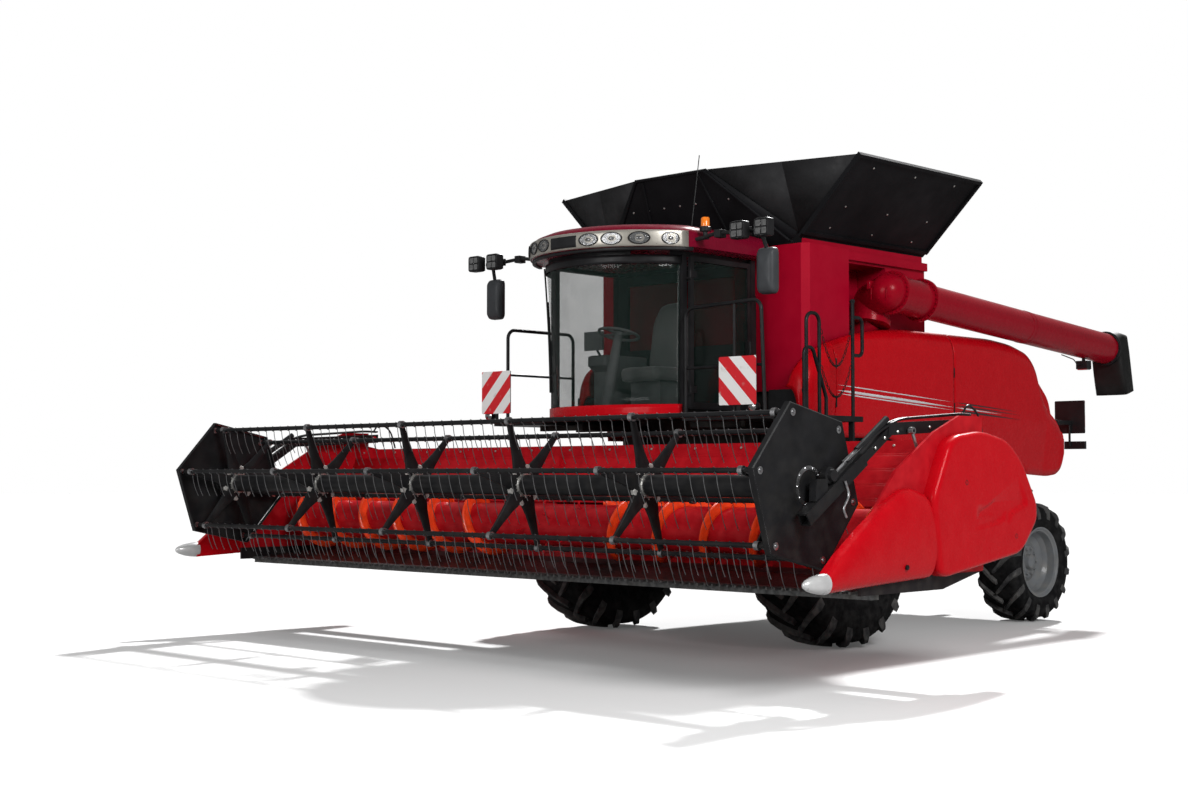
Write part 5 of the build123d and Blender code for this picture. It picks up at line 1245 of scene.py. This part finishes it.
# ---------------------------------------------------------------- unloader
@dataclass
class Unloader:
    """Column, mitred elbow, long tube, flanges and the rubber spout."""

    swing: Point = (1.240, 0.940, 3.115)
    elbow: Point = (1.510, 0.880, 3.392)
    end_y: float = 5.280
    fall: float = math.radians(4.2)
    big: float = 0.185
    slim: float = 0.175
    axis: Array = field(default_factory=lambda: unit(np.array((-0.02, 0.262, 1.0))))

    def way(self) -> Array:
        """Direction of the long tube."""
        return np.array((0.0, math.cos(self.fall), -math.sin(self.fall)))

    def at(self, distance: float) -> Array:
        """The point at a distance from the elbow along the long tube's axis."""
        return np.array(self.elbow) + self.way() * distance

    def length(self) -> float:
        """The long tube's length from the elbow."""
        return (self.end_y - self.elbow[1]) / math.cos(self.fall)

    def flange(self, centre: Array, axis: Array, radius: float, thick: float, bolts: int) -> Surface:
        """A ring with a row of bolts on each face."""
        ring = drum(thick, radius - 0.03, radius, centre, axis, 48)
        heads = studs(around(tuple(centre + axis * thick), axis, radius - 0.014, bolts), axis, 0.009, 0.012)
        tails = studs(around(tuple(centre - axis * thick), axis, radius - 0.014, bolts), -axis, 0.009, 0.012)
        return join(ring, heads, tails)

    def tube_shape(self) -> Surface:
        """The elbow in mitred stretches, then the two straight stretches."""
        foot, e, way = np.array(self.swing), np.array(self.elbow), self.way()
        knee = foot + self.axis * 0.215
        ball = [(-self.big * math.cos(a), self.big * math.sin(a)) for a in np.linspace(0, np.pi, 21)]
        bend = join(tube([foot + self.axis * 0.0006, knee], self.big, 48), lathe(ball, knee, self.axis, 48),
                    tube([knee, e], self.big, 48), lathe(ball, e, way, 48),
                    tube([e, self.at(0.56)], self.big, 48))
        main = tube([self.at(0.555), self.at(self.length())], self.slim, 48)
        band = lathe([(-0.012, 0.174), (-0.010, 0.1785), (0.010, 0.1785), (0.012, 0.174)], self.at(2.50), way,
                     48)
        seam = lathe([(-0.004, 0.174), (-0.003, 0.1775), (0.003, 0.1775), (0.004, 0.174)], self.at(2.56), way,
                     48)
        return join(bend, main, band, seam)

    def gussets(self) -> Surface:
        """Thin ribs in the elbow's bend."""
        ribs = []
        for shift in (-0.09, 0.0, 0.09):
            a = np.array(self.elbow) + (shift, -0.17, 0.02)
            ribs.append(tube([a + (0, 0.0, -0.10), a, a + (0, 0.10, 0.10)], 0.006, 6))
        lug = block((1.36, 0.72, 3.42), (1.40, 0.80, 3.50))
        return join(*ribs, lug)

    def spout(self) -> Surface:
        """The boot: rings that change from a circle at the tube to an oblong mouth that points down.

        Each ring is a superellipse |a|^n + |b|^n = 1, set square to a bending line in the plane of the tube.
        """
        tip = self.at(self.length())
        # y and z past the tube's end, half width, half depth, lean in degrees from upright, power
        table = np.array([
            (-0.030, 0.0, 0.185, 0.185, -4.0, 2.0), (0.004, 0.0, 0.187, 0.187, -4.0, 2.0),
            (0.050, 0.002, 0.190, 0.198, 12.0, 3.2), (0.096, -0.002, 0.190, 0.194, 27.4, 5.0),
            (0.126, -0.130, 0.190, 0.166, 35.0, 6.0), (0.160, -0.290, 0.190, 0.130, 49.0, 7.0),
            (0.210, -0.508, 0.190, 0.103, 74.0, 8.0),
        ])
        along, up, wide, deep, lean, power = table.T[:, :, None]
        turn = angles(48)[None]
        c, s = np.cos(turn), np.sin(turn)
        a = np.sign(c) * np.abs(c) ** (2 / power) * wide
        b = np.sign(s) * np.abs(s) ** (2 / power) * deep
        tilt = np.radians(lean)
        rings = np.stack([tip[0] + a, tip[1] + along + b * np.sin(tilt), tip[2] + up + b * np.cos(tilt)],
                         axis=-1)
        return skins(rings, caps=False)

    def lamp(self) -> tuple[Surface, Surface]:
        """A work lamp on a bracket under the tube's end, with its lead."""
        spot = self.at(3.88) + (0.0, 0.0, -0.250)
        case = block(tuple(spot - (0.07, 0.05, 0.05)), tuple(spot + (0.07, 0.05, 0.045)))
        bracket = block(tuple(spot + (-0.015, -0.015, 0.03)), tuple(spot + (0.015, 0.015, 0.088)))
        glass = block(tuple(spot + (-0.060, -0.035, -0.058)), tuple(spot + (0.060, 0.040, -0.050)))
        lead = tube([spot + (0, -0.04, 0), spot + (0, -0.16, 0.0), spot + (0, -0.22, 0.05),
                     spot + (0, -0.5, 0.09)],
                    0.007, 6, 0.05)
        return join(case, bracket, lead), glass

    def build(self) -> None:
        """Makes the unloader's pieces."""
        way = self.way()
        rings = [self.flange(np.array(self.swing) + self.axis * 0.014, self.axis, 0.205, 0.0135, 24),
                 self.flange(self.at(0.044), way, 0.218, 0.014, 28),
                 self.flange(self.at(0.554), way, 0.218, 0.014, 28)]
        piece("unloading_tube", self.tube_shape(), TUBE_RED, "unloader", smooth=25,
              stands_for=["unloader_tube"])
        piece("unloading_flanges", join(*rings), TUBE_RED, "unloader")
        piece("elbow_gussets", self.gussets(), TUBE_RED, "unloader", Edge.EASED)
        piece("rubber_spout", self.spout(), RUBBER, "unloader", wall=0.016, smooth=40,
              stands_for=["unloader_spout"])
        piece("spout_clamp", self.flange(self.at(self.length() - 0.02), way, 0.200, 0.012, 12), PLASTIC,
              "unloader")
        case, glow = self.lamp()
        piece("unloading_lamp", case, PLASTIC, "unloader", Edge.EASED)
        piece("unloading_lamp_glass", glow, REFLECTOR, "unloader")


# ---------------------------------------------------------------- header
@dataclass
class Header:
    """Crop dividers, end shields, auger, ribs on the back wall and the knife."""

    half: float = 3.850
    inner: float = 3.8755
    outer: float = 3.984
    auger: tuple[float, float] = (-2.200, 1.150)
    flight: float = 0.300
    drum: float = 0.190
    pitch: float = 0.520
    throat: float = 0.560

    def divider(self) -> Surface:
        """A bulging wedge: half a superellipse at each station between a foot line and a ridge line.

        At angle a from -90 to 90 degrees the ring stands at height middle + half height · sin a and reaches
        out by depth · |cos a|^0.55.
        """
        # y, foot, ridge, depth
        table = np.array([(-3.470, 0.778, 0.902, 0.100), (-3.30, 0.786, 1.040, 0.106),
                          (-3.0, 0.800, 1.235, 0.109), (-2.70, 0.814, 1.408, 0.109),
                          (-2.50, 0.822, 1.492, 0.108), (-2.38, 0.828, 1.505, 0.106),
                          (-2.22, 0.834, 1.468, 0.100), (-2.165, 0.838, 1.40, 0.095)])
        stations = np.linspace(-3.470, -2.165, 44)
        foot, ridge, depth = (np.interp(stations, table[:, 0], table[:, i])[:, None] for i in (1, 2, 3))
        angle = np.linspace(-np.pi / 2, np.pi / 2, 30)[None]
        bow = 0.055 * np.cos(angle)
        z = (foot + ridge) / 2 + (ridge - foot) / 2 * np.sign(np.sin(angle)) * np.abs(np.sin(angle)) ** 0.9
        x = self.inner + depth * np.abs(np.cos(angle)) ** 0.55
        y = stations[:, None] + bow * np.maximum(stations[:, None] + 2.6, 0) / 0.435
        return skins(np.stack(np.broadcast_arrays(x, y, z), axis=-1))

    def tip(self) -> Surface:
        """The pale nose: a blunt cone with a rounded end."""
        profile = [(-0.02, 0.0), (-0.02, 0.072), (0.0, 0.0745), (0.06, 0.070), (0.13, 0.058), (0.19, 0.041),
                   (0.225, 0.022), (0.238, 0.0)]
        nose = lathe(profile, (0, 0, 0), (0, -1, 0), 32)
        nose.points[:, 0] *= 0.82
        return nose.moved(3.9215, -3.461, 0.850)

    def shield(self) -> Surface:
        """The broad end shield: its rounded outline swells out with an eased edge and a shallow pocket.

        The pocket sinks by 22 mm where a point lies inside its slanting outline, smoothed over 30 mm.
        """
        outline = rounded([(-2.175, 1.420), (-2.095, 0.870), (-1.990, 0.835), (-0.890, 0.985),
                           (-0.650, 1.240), (-0.650, 1.370), (-0.880, 1.720), (-1.100, 1.880),
                           (-1.470, 1.945), (-1.830, 1.905), (-1.945, 1.840)], 0.11, 9, closed=True)
        share = np.concatenate([[1.0, 1.0], 1 - np.linspace(0.006, 1.0, 54) ** 1.15])
        edge = np.clip((1 - share) / 0.07, 0, 1)
        x = self.inner + (self.outer - self.inner) * (0.62 + 0.38 * np.sqrt(1 - (1 - edge) ** 2))
        x[0] = self.inner
        middle = (outline.min(axis=0) + outline.max(axis=0)) / 2
        plane = middle + share[:, None, None] * (outline - middle)
        depth = np.broadcast_to(x[:, None], plane.shape[:2]).copy()
        y, z = plane[..., 0], plane[..., 1]
        pocket = np.array([(-1.58, 1.27), (-1.52, 1.34), (-0.93, 1.56), (-0.84, 1.54), (-0.83, 1.36),
                           (-1.25, 1.22), (-1.45, 1.22)])
        run = np.roll(pocket, -1, axis=0) - pocket
        inside = [((y - p[0]) * d[1] - (z - p[1]) * d[0]) / math.hypot(*d) for p, d in zip(pocket, run)]
        t = np.clip(np.min(inside, axis=0) / 0.03, 0, 1)
        depth -= 0.022 * t * t * (3 - 2 * t)
        return skins(np.stack([depth, y, z], axis=-1))

    def fasteners(self) -> Surface:
        """Recessed bolts of the plastic covers: dark rings with a head."""
        spots = [(self.outer - 0.001, -1.72, 1.545), (self.inner + 0.105, -2.52, 0.93),
                 (self.outer - 0.002, -1.0, 1.12)]
        profile = [(-0.01, 0.0), (-0.01, 0.019), (0.002, 0.019), (0.003, 0.015), (0.0, 0.012), (0.0, 0.0)]
        return join(*(lathe(profile, spot, (1, 0, 0), 18) for spot in spots))

    def flights(self) -> Surface:
        """Two helices that feed in from the ends: at angle a, x = end - pitch · a / 2π."""
        end = self.half - 0.055
        turns = (end - self.throat) / self.pitch

        def place(a: Array, r: Array) -> tuple[Array, Array, Array]:
            """A point of the flight at angle a and radius r."""
            x = end - self.pitch * a / (2 * np.pi)
            return x, self.auger[0] + r * np.cos(a), self.auger[1] + r * np.sin(a)

        sheet = grid(np.linspace(0, 2 * np.pi * turns, int(turns * 30)),
                     np.linspace(self.drum - 0.01, self.flight - 0.002, 4),
                     place)
        return both(sheet)

    def drum_shape(self) -> Surface:
        """The auger's drum with its end plates and the fingers at the throat."""
        y, z = self.auger
        end = self.half - 0.052
        body = drum(end, 0.045, self.drum, (0, y, z), (1, 0, 0), 48)
        count = 16
        x = np.linspace(-self.throat + 0.06, self.throat - 0.06, count)
        angle = np.arange(count) * 2.4
        a = np.stack([x, y + 0.18 * np.cos(angle), z + 0.18 * np.sin(angle)], axis=1)
        b = np.stack([x, y + 0.288 * np.cos(angle), z + 0.288 * np.sin(angle)], axis=1)
        return join(body, *(tube([p, q], 0.008, 6) for p, q in zip(a, b)))

    def wall_ribs(self) -> Surface:
        """A ribbed sheet in front of the back wall: half-round ribs along a sloping plane."""
        slope = np.array([(-1.492, 1.780), (-1.602, 1.497), (-1.733, 1.177)])

        def place(x: Array, v: Array) -> tuple[Array, Array, Array]:
            """A point of the sheet, v from 0 at its top to 1 at its foot."""
            y = np.interp(v, (0, 0.47, 1), slope[:, 0])
            z = np.interp(v, (0, 0.47, 1), slope[:, 1])
            rib = np.maximum(0, np.cos(v * 2 * np.pi * 5)) ** 3 * 0.008
            return x, y - rib - 0.003, z

        return both(grid(np.linspace(0.0, 3.845, 5), np.linspace(0, 0.72, 90), place))

    def knife(self) -> Surface:
        """Sharp triangles between the guards, like a saw."""
        count = 100
        x = (np.arange(count) - (count - 1) / 2) * 0.0762
        corners = np.array([(-0.036, -2.795), (0.036, -2.795), (0.006, -2.868), (-0.006, -2.868)])
        flat = corners[None] + np.stack([x, 0 * x], axis=1)[:, None]
        heights = np.array([0.7615, 0.7645])
        rings = np.stack([np.insert(flat, 2, h, axis=2) for h in heights], axis=1)
        return skins(rings)

    def build(self) -> None:
        """Makes the header's pieces."""
        pair("end_shield_{}", self.shield(), RED, "header", smooth=45, stands_for=["header_ends"])
        pair("crop_divider_{}", self.divider(), RED, "header", smooth=55)
        pair("divider_tip_{}", self.tip(), TIP_SILVER, "header", smooth=60)
        pair("cover_fasteners_{}", self.fasteners(), PLASTIC, "header")
        piece("auger_drum", self.drum_shape(), TROUGH_RED, "header_auger", stands_for=["header_auger"])
        # The flights take the lighter copy of the red enamel: painted light.
        piece("auger_flights", self.flights(), LIT_AUGER_RED, "header_auger", wall=0.006, smooth=40)
        piece("back_wall_ribs", self.wall_ribs(), TROUGH_RED, "header", wall=0.002)
        piece("knife_sections", self.knife(), GUARD_STEEL, "header")
        count = 15
        x = np.linspace(-3.7, 3.7, count)
        bolts = studs(np.stack([x, np.full(count, -1.491), np.full(count, 1.84)], axis=1), (0, -1, 0), 0.012,
                      0.010)
        piece("top_beam_bolts", bolts, ZINC, "header")


@dataclass
class Reel:
    """Central tube, spiders, end shields and tine bars, with what is fixed to the arms and carriers.

    The places are those at rest: axis is y and z of the reel's axis, and turn is the first bar's angle
    in degrees.
    """

    axis: tuple[float, float] = (-3.260, 1.520)
    radius: float = 0.555
    turn: float = 12.0
    bars: int = 6
    half: float = 3.600
    spiders: int = 6
    tube_radius: float = 0.085
    bar_radius: float = 0.020
    tine_pitch: float = 0.125
    tine_drop: float = 0.236
    tine_back: float = 0.068
    wire: float = 0.0036
    shield_x: float = 3.628
    shield_share: float = 1.14

    def angle(self, k: float) -> float:
        """Angle of a tine bar, from straight ahead over the top."""
        return math.radians(self.turn + 360 / self.bars * k)

    def spot(self, k: float, share: float = 1.0) -> tuple[float, float]:
        """y and z at a share of the bars' radius, in the direction of bar k."""
        a, reach = self.angle(k), self.radius * share
        return self.axis[0] - reach * math.cos(a), self.axis[1] + reach * math.sin(a)

    def stations(self) -> Array:
        """x of the spiders."""
        return np.linspace(-self.half + 0.12, self.half - 0.12, self.spiders)

    def rod(self, half: float, radius: float, middle: tuple[float, float]) -> Surface:
        """A closed round bar along X through a point's y and z."""
        return drum(half, 0.0, radius, (0, *middle), (1, 0, 0), 16)

    def centre_tube(self) -> Surface:
        """The central tube, from shield to shield."""
        return self.rod(self.shield_x - 0.005, self.tube_radius, self.axis)

    def clamps(self) -> Surface:
        """Bright clamp rings and their bolts."""
        y, z = self.axis
        near = [(-0.035, 0.084), (-0.035, 0.094), (-0.016, 0.100), (-0.016, 0.084)]
        far = [(-along, radius) for along, radius in reversed(near)]
        rings = []
        for x in self.stations():
            rings += [lathe(profile, (x, y, z), (1, 0, 0), 24) for profile in (near, far)]
            rings.append(studs(around((x + 0.016, y, z), (1, 0, 0), 0.105, 12), (1, 0, 0), 0.007, 0.010))
        return join(*rings)

    def spokes(self, shift: float, reach: Array, wide: Array, deep: Array, corners: Array) -> Surface:
        """Spokes round the axis at every spider, all at once.

        Ring t of a spoke stands at reach_t from the axis, and its corners lie at multiples of wide_t
        across it and of deep_t along X.

        Args:
            shift: Turn from the bars, in shares of the angle between two bars.
            reach: Each ring's distance from the axis.
            wide: Each ring's half width.
            deep: Each ring's half depth.
            corners: A ring's corners, in multiples of its half width and half depth.

        Returns:
            The surface of all the spokes.
        """
        turn = np.radians(self.turn + 360 / self.bars * (np.arange(self.bars) + shift))
        out = np.stack([0 * turn, -np.cos(turn), np.sin(turn)], axis=1)
        across = np.stack([0 * turn, np.sin(turn), np.cos(turn)], axis=1)
        along = np.array((1.0, 0.0, 0.0))
        base = np.array((0.0, *self.axis)) + out[:, None] * reach[None, :, None]
        rings = (base[:, :, None] + (wide[:, None] * corners[:, 0])[None, :, :, None] * across[:, None, None]
                 + (deep[:, None] * corners[:, 1])[None, :, :, None] * along)
        every = rings[None] + self.stations()[:, None, None, None, None] * along
        return skins(every.reshape(-1, *rings.shape[1:]))

    def spider_arms(self) -> Surface:
        """Pressed arms that narrow from the tube to the bar, with a raised spine on both faces."""
        reach = np.array([0.07, 0.12, 0.25, 0.42, self.radius - 0.018])
        wide = np.array([0.092, 0.078, 0.050, 0.033, 0.026])
        deep = np.array([0.013, 0.014, 0.012, 0.010, 0.008])
        corners = np.array([(-1.0, 1.0), (-0.25, 1.55), (0.25, 1.55), (1.0, 1.0), (1.0, -1.0), (0.25, -1.55),
                            (-0.25, -1.55), (-1.0, -1.0)])
        return self.spokes(0.0, reach, wide, deep, corners)

    def hub_brackets(self) -> Surface:
        """Worn castings that clamp each spider to the tube: short tapering arms between the spider's own."""
        reach = np.array([0.080, 0.105, 0.150, 0.175])
        wide = np.array([0.048, 0.046, 0.034, 0.016])
        corners = np.array([(-1.0, 1.0), (1.0, 1.0), (1.0, -1.0), (-1.0, -1.0)])
        return self.spokes(0.5, reach, wide, np.full(4, 0.016), corners)

    def shield_rim(self) -> Surface:
        """The bright folded edge of an end shield: a wire along its outline."""
        x, share = self.shield_x + 0.004, self.shield_share - 0.012
        corners = [(x, *self.spot(k, share)) for k in range(self.bars)]
        return join(*(tube([a, b], 0.0055, 6) for a, b in zip(corners, corners[1:] + corners[:1])))

    def eyes(self) -> Surface:
        """Bearing eyes where the bars pass the spiders."""
        profile = [(-0.020, 0.0215), (-0.020, 0.034), (0.020, 0.034), (0.020, 0.0215), (-0.020, 0.0215)]
        return join(*(lathe(profile, (x, *self.spot(k)), (1, 0, 0), 14) for k in range(self.bars)
                      for x in self.stations()))

    def end_shield(self) -> Surface:
        """A six-sided plate pressed into six shallow facets, with a turned-in edge."""
        corners = np.array([self.spot(k, self.shield_share) for k in range(self.bars)])
        mids = (corners + np.roll(corners, -1, axis=0)) / 2
        ring = np.stack([corners, mids], axis=1).reshape(-1, 2)
        middle = np.array(self.axis)
        x0 = self.shield_x
        levels = [(0.985, x0 - 0.040), (1.0, x0 - 0.038), (1.0, x0 + 0.004), (0.985, x0 + 0.010),
                  (0.5, x0 + 0.016), (0.22, x0 + 0.020), (0.0, x0 + 0.020)]
        share, height = np.array(levels).T
        crease = np.where(np.arange(len(ring)) % 2, -0.010, 0.0)
        plane = middle + share[:, None, None] * (ring - middle)
        x = height[:, None] + crease[None] * (share[:, None] > 0.3) * (share[:, None] < 0.9)
        sheet = np.concatenate([x[..., None], plane], axis=2)
        return skins(sheet, caps=False)

    def shield_fittings(self) -> Surface:
        """Corner bolts, and the hub ring with its own bolts."""
        bolt = [(0.0, 0.028), (0.008, 0.028), (0.010, 0.012), (0.020, 0.011), (0.022, 0.0)]
        x = self.shield_x
        bolts = [lathe(bolt, (x + 0.008, *self.spot(k)), (1, 0, 0), 18) for k in range(self.bars)]
        ring = lathe([(0.0, 0.150), (0.008, 0.150), (0.010, 0.120), (0.004, 0.110)], (x + 0.014, *self.axis),
                     (1, 0, 0), 40)
        heads = studs(around((x + 0.020, *self.axis), (1, 0, 0), 0.135, 10), (1, 0, 0), 0.009, 0.008)
        return join(*bolts, ring, heads)

    def tine_bar(self, k: int) -> tuple[Surface, Surface]:
        """A bar, and its wire tines: each winds round the bar and hangs with a backward curl.

        Along a tine, t from 0 to 1 gives drop · t down and back · t² to the rear; the coil is five eighths
        of a helix's turn.
        """
        y0, z0 = self.spot(k)
        bar = self.rod(self.half, self.bar_radius, (y0, z0))
        count = int(2 * (self.half - 0.06) / self.tine_pitch)
        x = (np.arange(count + 1) - count / 2) * self.tine_pitch
        near = np.abs(x[:, None] - self.stations()[None]).min(axis=1) < 0.05
        x = np.where(near, x + 0.045, x)
        wind = np.linspace(0, 1, 9)
        r = self.bar_radius + 0.004
        turn = np.pi * (0.5 - 2.0 * wind)
        coil = np.stack([-0.03 * (1 - wind), r * np.cos(turn), r * np.sin(turn)], axis=1)
        t = np.linspace(0.12, 1, 8)
        fall = np.stack([0 * t, self.tine_back * t**2, -self.tine_drop * t], axis=1)
        line = np.concatenate([coil[:6], [(0.0, -r, -0.01)], fall])
        tine = hoops(line, (0.7, 0.5, 0.2), self.wire, 5)
        every = tine[None] + np.stack([x, np.full_like(x, y0), np.full_like(x, z0)], axis=1)[:, None, None]
        return bar, skins(every)

    def arm_fittings(self) -> tuple[Surface, Surface]:
        """The arm's hoses with the fore-and-aft cylinder's barrel, and its bolts with the pin."""
        top = [(3.735, -1.300, 2.070), (3.735, -1.45, 2.075), (3.735, -2.30, 2.015), (3.735, -2.55, 1.915),
               (3.735, -2.95, 1.690)]
        hoses = [tube(np.array(top) + (d, 0, abs(d) * 0.3), 0.009, 8, 0.12) for d in (-0.018, 0.004, 0.026)]
        loop = tube([(3.72, -1.36, 2.07), (3.72, -1.28, 2.17), (3.72, -1.12, 2.10), (3.72, -1.05, 1.90)],
                    0.009, 8, 0.10)
        barrel = tube([(3.735, -2.42, 2.020), (3.735, -2.80, 1.782)], 0.026, 16)
        spots = np.array([(3.771, y, z) for y, z in ((-1.62, 1.985), (-1.9, 1.968), (-2.15, 1.955),
                                                     (-2.33, 1.925), (-2.50, 1.875), (-2.62, 1.80))])
        bolts = studs(spots, (1, 0, 0), 0.013, 0.010)
        pin = lathe([(0.0, 0.040), (0.012, 0.040), (0.014, 0.024), (0.030, 0.022), (0.032, 0.0)],
                    (3.771, -1.36, 2.0), (1, 0, 0), 24)
        return join(*hoses, loop, barrel), join(bolts, pin)

    def carrier_fittings(self) -> tuple[Surface, Surface]:
        """The drive motor, and the fore-and-aft cylinder's rod with the hanging catch."""
        rod = tube([(3.735, -2.78, 1.795), (3.735, -3.12, 1.582)], 0.013, 12)
        motor = lathe([(0.0, 0.0), (0.0, 0.062), (0.05, 0.062), (0.055, 0.045), (0.085, 0.043), (0.088, 0.0)],
                      (3.700, -3.14, 1.60), (1, 0, 0), 24)
        catch = tube([(3.79, -3.02, 1.56), (3.80, -2.98, 1.46), (3.80, -3.06, 1.36), (3.80, -3.02, 1.30)],
                     0.010, 8, 0.04)
        return motor, join(rod, catch)

    def build(self) -> None:
        """Makes the reel's pieces."""
        piece("reel_tube", self.centre_tube(), BLACK, "reel", stands_for=["reel_core"])
        piece("reel_clamps", self.clamps(), ZINC, "reel")
        piece("reel_spiders", self.spider_arms(), BLACK, "reel", Edge.EASED, smooth=20)
        piece("reel_eyes", self.eyes(), STEEL, "reel")
        piece("reel_hub_brackets", self.hub_brackets(), HUB_GREY, "reel", Edge.EASED)
        pair("reel_shield_{}", self.end_shield(), BLACK, "reel", wall=0.004, smooth=8)
        pair("reel_shield_fittings_{}", self.shield_fittings(), STEEL, "reel")
        pair("reel_shield_rim_{}", self.shield_rim(), STEEL, "reel")
        hoses, bolts = self.arm_fittings()
        pair("arm_hoses_{}", hoses, PLASTIC, "reel_arms")
        pair("arm_bolts_{}", bolts, ZINC, "reel_arms")
        motor, rod = self.carrier_fittings()
        pair("reel_motor_{}", motor, BLACK, "reel_carriers")
        pair("slide_rod_{}", rod, STEEL, "reel_carriers")
        for k in range(self.bars):
            bar, tines = self.tine_bar(k)
            piece(f"reel_bar_{k + 1}", bar, BLACK, f"tine_bar_{k + 1}", stands_for=[f"tine_bar_{k + 1}"])
            piece(f"reel_tines_{k + 1}", tines, TINE_STEEL, f"tine_bar_{k + 1}", smooth=80)


# ---------------------------------------------------------------- studio
@dataclass
class Studio:
    """Pale floor, soft light and the camera."""

    eye: Point = (10.961, -12.948, 1.604)
    yaw: float = 44.275
    pitch: float = 2.532
    lens: float = 51.26

    def floor(self) -> None:
        """A broad pale floor that looks white in plain view and keeps the machine's shadow."""
        g = Graph(bpy.data.materials.new("studio floor"))
        plain = g.add("ShaderNodeBsdfDiffuse", None, Color=(0.86, 0.86, 0.86, 1.0)).outputs[0]
        glow = g.add("ShaderNodeEmission", None, Color=(1, 1, 1, 1), Strength=1.0).outputs[0]
        rays = g.add("ShaderNodeLightPath").outputs
        seen = g.math("MAXIMUM", g.math("MAXIMUM", rays["Is Camera Ray"], rays["Is Glossy Ray"]),
                      rays["Is Transmission Ray"])
        mixed = g.add("ShaderNodeMixShader", None, n0=g.math("MULTIPLY", seen, 0.06), n1=plain,
                      n2=glow).outputs[0]
        dull = g.add("ShaderNodeBsdfDiffuse", None, Color=(0.02, 0.02, 0.02, 1.0)).outputs[0]
        quiet = g.math("MAXIMUM", g.math("MULTIPLY", rays["Is Glossy Ray"], 0.75),
                       g.math("MULTIPLY", rays["Is Diffuse Ray"], 0.55))
        mixed = g.add("ShaderNodeMixShader", None, n0=quiet, n1=mixed, n2=dull).outputs[0]
        mesh = bpy.data.meshes.new("studio_floor")
        reach = 120.0
        mesh.from_pydata([(-reach, -reach, 0), (reach, -reach, 0), (reach, reach, 0), (-reach, reach, 0)], [],
                         [(0, 1, 2, 3)])
        mesh.materials.append(g.done(mixed))
        made = bpy.data.objects.new("studio_floor", mesh)
        bpy.context.scene.collection.objects.link(made)

    def world(self) -> None:
        """White where it is seen, and a plain grey light otherwise."""
        world = bpy.data.worlds.new("studio")
        bpy.context.scene.world = world
        g = Graph(world)
        rays = g.add("ShaderNodeLightPath").outputs
        seen = g.math("MAXIMUM", rays["Is Camera Ray"], rays["Is Transmission Ray"])
        back = g.add("ShaderNodeBackground", None, Color=(1.0, 1.0, 1.0, 1.0),
                     Strength=g.ramp(seen, 0.0, 1.0, 0.20, 1.0))
        g.add("ShaderNodeOutputWorld", None, Surface=back.outputs[0])

    def shine(self, data: bpy.types.Light, place: Point, way: Sequence[float]) -> None:
        """Adds a light that shines along a direction.

        It tilts by atan2(level part, -z) and turns by atan2(-x, y).
        """
        made = bpy.data.objects.new(data.name, data)
        made.location = place
        made.rotation_euler = (math.atan2(math.hypot(way[0], way[1]), -way[2]), 0.0,
                               math.atan2(-way[0], way[1]))
        bpy.context.scene.collection.objects.link(made)

    def lamp(self, name: str, place: Point, target: Point, size: float, power: float) -> None:
        """A square soft lamp turned to a target."""
        data = bpy.data.lights.new(name, "AREA")
        data.size = size
        data.energy = power
        self.shine(data, (place[0], place[1] + AXLE_Y, place[2]), np.array(target) - np.array(place))

    def sun(self, travel: Point, strength: float) -> None:
        """A high soft sun from behind the machine, which throws its shadow forward."""
        data = bpy.data.lights.new("sun", "SUN")
        data.energy = strength
        data.angle = math.radians(3.0)
        self.shine(data, (0.0, 0.0, 0.0), travel)

    def camera(self) -> None:
        """The camera: level with a standing person, ahead of the machine's left-hand corner."""
        data = bpy.data.cameras.new("view")
        data.lens = self.lens
        data.sensor_width = 36.0
        data.clip_end = 500.0
        made = bpy.data.objects.new("view", data)
        made.location = (self.eye[0], self.eye[1] + AXLE_Y, self.eye[2])
        made.rotation_euler = (math.radians(90 + self.pitch), 0.0, math.radians(self.yaw))
        bpy.context.scene.collection.objects.link(made)
        bpy.context.scene.camera = made

    def build(self) -> None:
        """Sets up the whole studio."""
        self.floor()
        self.world()
        self.sun((0.35, -0.96, -1.0), 4.7)
        self.lamp("left fill", (13.0, -6.0, 8.5), (0.0, 0.0, 1.8), 5.0, 1350.0)
        self.lamp("front fill", (1.0, -17.0, 6.0), (0.0, -1.0, 1.8), 7.0, 950.0)
        self.camera()
        bpy.context.scene.view_settings.view_transform = "Standard"


def dress_frame() -> None:
    """Gives each carried-over node its finish."""
    for finish, names in CAD_FINISH.items():
        for name in names:
            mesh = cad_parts[name].data
            mesh.materials.clear()
            mesh.materials.append(material(finish))


def main() -> None:
    """Builds the studio and every sub-assembly in order."""
    logging.basicConfig(level=logging.INFO, format="%(name)s: %(message)s")
    dress_frame()
    steps: list[tuple[str, Callable[[], None]]] = [
        ("studio", Studio().build), ("wheels", build_wheels), ("side sheets", SideSheets().build),
        ("rear shell", RearShell().build), ("tank trim", TankTrim().build), ("cab", Cab().build),
        ("deck", Deck().build), ("unloader", Unloader().build), ("header", Header().build),
        ("reel", Reel().build),
    ]
    for label, build in steps:
        build()


if __name__ == "__main__":
    main()
